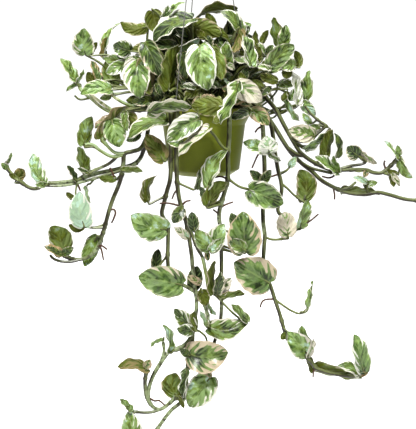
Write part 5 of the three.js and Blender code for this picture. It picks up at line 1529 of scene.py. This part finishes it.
@dataclass
class Foliage:
    """The crown and the vines: where every leaf and stem goes."""

    sheet: LeafSheet
    shaded_sheet: LeafSheet
    skins: list[Material]
    barks: dict[Stem, Material]
    thicket: Thicket = field(default_factory=Thicket)

    def routes(self, node: str) -> list[Route]:
        """The routes that a node's leaves can grow from."""
        mains = [VINES[vine].route for vine in NODE_VINES[node]]
        return mains + [way for kind, way in SIDE_STEMS[node] if kind is not Stem.AERIAL]

    def stem_ways(self, node: str) -> list[tuple[Stem, list[Vector]]]:
        """Each stem of a node with its points in mm, root first."""
        ways: list[tuple[Stem, list[Vector]]] = []
        for vine in NODE_VINES[node]:
            right, near = VINES[vine].soil
            foot = [Vector((right, -near, SOIL_Z - 18)), Vector((right, -near, SOIL_Z + 10))]
            ways.append((Stem.VINE, foot + [spot(place) for place in VINES[vine].route]))
        return ways + [(kind, [spot(place) for place in way]) for kind, way in SIDE_STEMS[node]]

    def stand(self) -> None:
        """Notes the pot, the hanger and every stem, which the leaves then keep clear of."""
        for name in ("pot", "hanger_wire_front", "hanger_wire_right", "hanger_wire_back"):
            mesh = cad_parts[name].data
            corners = [v.co * MM_PER_M + Vector((0, 0, SEAT_Z)) for v in mesh.vertices]
            self.thicket.place(name, corners, [tuple(face.vertices) for face in mesh.polygons])
        for node in NODE_VINES:
            for kind, points in self.stem_ways(node):
                if kind is not Stem.AERIAL:
                    self.thicket.place(node, *tube_faces(points, kind.value))

    def shoots(self, node: str) -> list[Shoot]:
        """Sets every leaf of a node clear of what stands."""
        routes = self.routes(node)
        make = crown_shoot if node == "crown_foliage" else vine_shoot
        found: list[Shoot] = []
        for order, measured in enumerate(LEAVES[node]):
            row = LeafRow(*measured)
            seed = 100 * list(NODE_VINES).index(node) + order
            found.append(clearest(self.thicket, node, lambda shift: make(
                leaf_in_view(row, seed, shift), row, order, routes)))
        if node == "crown_foliage":
            for index in range(BACK_LEAVES + INNER_LEAVES):
                found.append(clearest(self.thicket, node, lambda shift: arched_shoot(
                    outer_leaf(index, shift), index)))
            for index in range(CORE_LEAVES):
                found.append(clearest(self.thicket, node, lambda shift: arched_shoot(
                    core_leaf(index, shift), index)))
        return found

    def stems(self, node: str, shoots: list[Shoot]) -> Object:
        """The stems, stalks and aerial roots of a node, swollen where a stalk starts."""
        parts: dict[Stem, list[tuple[list[Vector], list[float]]]] = {kind: [] for kind in Stem}
        roots = np.array([shoot.way[0] for shoot in shoots])
        for kind, points in self.stem_ways(node):
            samples = smooth_route(points, STEM_STEP)
            reach = np.linalg.norm(np.array(samples)[:, None] - roots[None], axis=2).min(axis=1)
            last = len(samples) - 1
            swell = 1 + SWELL * np.exp(-((reach / SWELL_MM) ** 2))
            thin = 1 - TAPER * np.arange(last + 1) / last
            radii = (kind.value * thin * swell).tolist()
            parts[kind].append((samples, radii))
        for shoot in shoots:
            leaf = shoot.leaf
            under_rib = [leaf.coarse(0, t) - leaf.normal * 0.5 for t in (0.0, 0.06, 0.14)]
            samples = smooth_route([*shoot.way, *under_rib], STALK_STEP)
            last = len(samples) - 1
            slim = min(1.2, 0.7 + leaf.length / 100)
            radii = [
                Stem.STALK.value * slim * (1.25 - 0.4 * min(1, sixths) - 0.35 * max(0, sixths - 5))
                for sixths in (6 * i / last for i in range(last + 1))
            ]
            parts[Stem.STALK].append((samples, radii))
        made = [
            tubes(f"{kind.name.lower()}s", ways, self.barks[kind], 2 if kind is Stem.VINE else 1)
            for kind, ways in parts.items()
            if ways
        ]
        return joined(made, f"{node}_stems")

    def blade(self, leaf: Leaf) -> Object:
        """A leaf's blade, of fewer faces in the shaded heart of the crown."""
        return (self.shaded_sheet if leaf.seed >= CORE_SEED else self.sheet).blade(leaf)

    def build(self) -> None:
        """Builds every plant node: its leaves, which stand for the node, and its stems."""
        self.stand()
        for node in NODE_VINES:
            shoots = self.shoots(node)
            blades = [self.blade(shoot.leaf) for shoot in shoots]
            leaves = foliage(f"{node}_leaves", blades, self.skins)
            finished(leaves, node)
            finished(self.stems(node, shoots))
        for sheet in (self.sheet, self.shaded_sheet):
            bpy.data.objects.remove(sheet.master)


@dataclass
class Pot:
    """The round pot with its flared lip and its potting mix, in mm."""

    foot_radius: float = 45.0
    chamfer: tuple[float, float] = (59.5, 9.5)
    shoulder: tuple[float, float] = (69.0, 85.0)
    lip_foot: float = 98.0
    wall: float = 2.2
    sides: int = 96
    crumbs: int = 260

    def body(self, finish: Material) -> Object:
        """The pot's shell."""
        wide, high = self.shoulder
        outside = [
            (self.foot_radius, 0.0), self.chamfer, (0.5 * (self.chamfer[0] + wide), 48.0),
            self.shoulder, (RIM_R - 0.4, self.lip_foot - 0.6), (RIM_R, self.lip_foot + 1.4),
            (RIM_R, RIM_Z),
        ]
        inside = [
            (RIM_R - self.wall, RIM_Z), (RIM_R - self.wall, self.lip_foot),
            (wide - self.wall, high), (self.chamfer[0] - self.wall, self.chamfer[1] + 1.5),
            (self.foot_radius - 1, 3.0),
        ]
        piece = bevelled(turned("pot_shell", outside + inside, self.sides), 0.6)
        piece.data.materials.append(finish)
        return finished(piece, "pot")

    def soil(self, finish: Material, grit: Material) -> Object:
        """The potting mix: an uneven top with bark crumbs and perlite on it."""
        radius = self.shoulder[0] + 1.6
        rings = [(radius - 13, 8.0), (radius - 4, SOIL_Z - 14), (radius, SOIL_Z - 2)]
        rings += [(radius * (1 - k / 15) + 0.4, SOIL_Z) for k in range(15)]
        piece = turned("potting_mix", rings, 72)
        for corner in piece.data.vertices:
            if corner.co.z > (SOIL_Z - 3 - SEAT_Z) / MM_PER_M:
                place = corner.co * MM_PER_M
                rise = 2.2 * noise.noise(place / 9) + 1.4 * noise.noise(place / 3.5) - 1.6
                corner.co.z += rise / MM_PER_M
        piece.data.materials.append(finish)
        piece.data.materials.append(grit)
        whole = joined([piece, *self.crumb_copies(finish, grit)], "potting_mix")
        return finished(whole, "soil")

    def crumb_copies(self, finish: Material, grit: Material) -> list[Object]:
        """Bark and perlite crumbs, each a squeezed copy of one lump, on the soil's top."""
        bpy.ops.object.select_all(action="DESELECT")
        bpy.ops.mesh.primitive_ico_sphere_add(subdivisions=1, radius=1 / MM_PER_M)
        lump = bpy.context.view_layer.objects.active
        draw = random.Random(CRUMB_SEED)
        copies: list[Object] = []
        for index in range(self.crumbs):
            mesh = lump.data.copy()
            pale = index % 4 == 0
            mesh.materials.append(grit if pale else finish)
            size = Vector((draw.uniform(1, 2.6), draw.uniform(0.7, 1.8), draw.uniform(0.5, 1.2)))
            angle, reach = draw.uniform(0, 2 * math.pi), 66 * math.sqrt(draw.random())
            turn = draw.uniform(0, math.pi)
            for corner in mesh.vertices:
                x, y, z = (a * b * draw.uniform(0.8, 1.2) for a, b in zip(corner.co, size))
                corner.co = (
                    x * math.cos(turn) - y * math.sin(turn) + reach * math.cos(angle) / MM_PER_M,
                    x * math.sin(turn) + y * math.cos(turn) + reach * math.sin(angle) / MM_PER_M,
                    z + (SOIL_Z - SEAT_Z - 1.4) / MM_PER_M,
                )
            copy = bpy.data.objects.new("crumb", mesh)
            bpy.context.collection.objects.link(copy)
            copies.append(copy)
        bpy.data.objects.remove(lump)
        return copies


@dataclass
class Hanger:
    """Three wires from the lip to a collar, and the hook above it, in mm."""

    wire: float = 0.9
    ring: float = 3.4
    collar_radius: float = 6.5
    collar_height: float = 16.0
    hook_wire: float = 1.6
    hook_arc: float = 13.0
    neck: float = 16.0
    azimuths: dict[str, float] = field(
        default_factory=lambda: {"front": -36.0, "right": 84.0, "back": 204.0}
    )

    def strand(self, side: str, finish: Material) -> Object:
        """One wire, bent through its hole in the lip."""
        angle = math.radians(self.azimuths[side])
        out = Vector((math.sin(angle), -math.cos(angle), 0))
        hole = RIM_Z - 7
        bends = [
            (RIM_R - 6.2, hole - 5), (RIM_R - 6.2, hole - 1.4), (RIM_R - 4.6, hole),
            (RIM_R + 1.6, hole), (RIM_R + 3.2, hole + 1.6), (RIM_R + 3.2, RIM_Z),
        ]
        tops = [
            (self.ring + 1.2, COLLAR_Z - 8), (self.ring, COLLAR_Z - 1), (self.ring, COLLAR_Z + 9)
        ]
        low = [out * r + Vector((0, 0, z)) for r, z in bends]
        high = [out * r + Vector((0, 0, z)) for r, z in tops]
        rise = [low[-1].lerp(high[0], k / 12) for k in range(12)]
        points = smooth_route(low, 0.7)[:-1] + rise + high
        piece = tubes(f"hanger_strand_{side}", [(points, [self.wire] * len(points))], finish)
        return finished(piece, f"hanger_wire_{side}")

    def hook(self, finish: Material) -> Object:
        """The collar with the hook that rises from it."""
        top = COLLAR_Z + self.collar_height
        rings = [(self.collar_radius, COLLAR_Z), (self.collar_radius, top), (2.4, top + 0.8)]
        collar = bevelled(turned("collar", rings, 48), 0.7)
        collar.data.materials.append(finish)
        centre = top + self.neck
        arc = [(0, top - 2), (0, top + 2), (4, top + 6)]
        for step in range(-2, 17):
            angle = math.pi * step / 16
            arc.append((self.hook_arc * math.cos(angle), centre + self.hook_arc * math.sin(angle)))
        arc += [(-self.hook_arc - 0.5, centre - 6), (-self.hook_arc - 3, centre - 10)]
        points = smooth_route([Vector((x, 0, z)) for x, z in arc], 1.2)
        hook = tubes("hook_wire", [(points, [self.hook_wire] * len(points))], finish, 3)
        return finished(joined([collar, hook], "hanger_hook_piece"), "hanger_hook")


@dataclass
class Studio:
    """Pale floor and backdrop, soft lights, and the camera at the photograph's place."""

    floor_z: float = -1.3
    reach: float = 4.0
    sweep: float = 0.45

    def backdrop(self) -> None:
        """The floor, swept up behind the plant."""
        bpy.ops.object.select_all(action="DESELECT")
        bpy.ops.mesh.primitive_plane_add(size=2 * self.reach, location=(0, 0, self.floor_z))
        floor = bpy.context.view_layer.objects.active
        bpy.ops.object.transform_apply(location=True)
        bpy.ops.object.mode_set(mode="EDIT")
        bpy.ops.mesh.select_all(action="DESELECT")
        bpy.ops.object.mode_set(mode="OBJECT")
        for edge in floor.data.edges:
            edge.select = all(floor.data.vertices[v].co.y > 0 for v in edge.vertices)
        bpy.ops.object.mode_set(mode="EDIT")
        bpy.ops.mesh.select_mode(type="EDGE")
        for step in range(16):
            angle = math.pi / 32 * (step + 0.5)
            bend = (0, self.sweep * math.cos(angle), self.sweep * math.sin(angle))
            bpy.ops.mesh.extrude_region_move(TRANSFORM_OT_translate={"value": bend})
        bpy.ops.object.mode_set(mode="OBJECT")
        bpy.ops.object.shade_smooth()
        material, _, shader = new_material("backdrop")
        shader["Base Color"].default_value = (0.93, 0.93, 0.93, 1)
        shader["Roughness"].default_value = 1.0
        floor.data.materials.append(material)
        floor.name = "floor"

    def lamp(self, name: str, place: Place, aim: Place, size: float, power: float) -> None:
        """A large soft lamp, aimed at a point."""
        data = bpy.data.lights.new(name, "AREA")
        data.size = size
        data.energy = power
        lamp = bpy.data.objects.new(name, data)
        lamp.location = place
        lamp.rotation_euler = (Vector(aim) - lamp.location).to_track_quat("-Z", "Y").to_euler()
        bpy.context.collection.objects.link(lamp)

    def light(self) -> None:
        """A broad front light from above, a weak fill, a top light and an even surround."""
        crown = (0, 0, -0.55)
        self.lamp("key", (-0.7, -1.9, 1.6), crown, 0.7, 122)
        self.lamp("fill", (2.2, -2.0, 0.1), crown, 1.8, 10)
        self.lamp("top", (0.3, 0.0, 1.5), crown, 0.9, 68)
        for side in (-1.6, 1.6):
            self.lamp("wall", (side, 1.4, 1.6), (0.3 * side, 6, -0.6), 1.5, 200)
        world = bpy.data.worlds.new("surround")
        world.use_nodes = True
        world.node_tree.nodes["Background"].inputs[0].default_value = (1, 1, 1, 1)
        world.node_tree.nodes["Background"].inputs[1].default_value = 0.1
        bpy.context.scene.world = world

    def camera(self) -> None:
        """The camera, with the photograph's place, tilt and field of view."""
        data = bpy.data.cameras.new("camera")
        data.sensor_width = SENSOR_MM
        data.lens = SENSOR_MM * FOCAL_PX / max(FRAME_SIZE)
        camera = bpy.data.objects.new("camera", data)
        camera.location = metres([EYE])[0]
        camera.rotation_euler = (math.pi / 2 - PITCH, 0, 0)
        bpy.context.collection.objects.link(camera)
        bpy.context.scene.camera = camera

    def build(self) -> None:
        """Sets the whole studio up."""
        self.backdrop()
        self.light()
        self.camera()
        bpy.context.scene.view_settings.view_transform = "Standard"


def main() -> None:
    """Builds every piece in order."""
    logging.basicConfig(level=logging.INFO, format="%(message)s")
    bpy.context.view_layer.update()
    groups = {"mottle": mottle_group(), "variegation": variegation_group()}
    skins = [
        LeafFinish("leaf_upper", under=False, roughness=0.36).material(groups),
        LeafFinish("leaf_under", under=True, roughness=0.5).material(groups),
    ]
    vine, stalk, root, young, perlite = (finish.material(groups) for finish in STEM_FINISHES)
    barks = dict(zip(Stem, (vine, vine, young, stalk, root)))
    wire = WireFinish().material(groups)
    pot = Pot()
    pot.body(PlasticFinish().material(groups))
    pot.soil(SoilFinish().material(groups), perlite)
    hanger = Hanger()
    for side in hanger.azimuths:
        hanger.strand(side, wire)
    hanger.hook(wire)
    Foliage(LeafSheet(), LeafSheet(columns=8, rows=12), skins, barks).build()
    Studio().build()


if __name__ == "__main__":
    main()
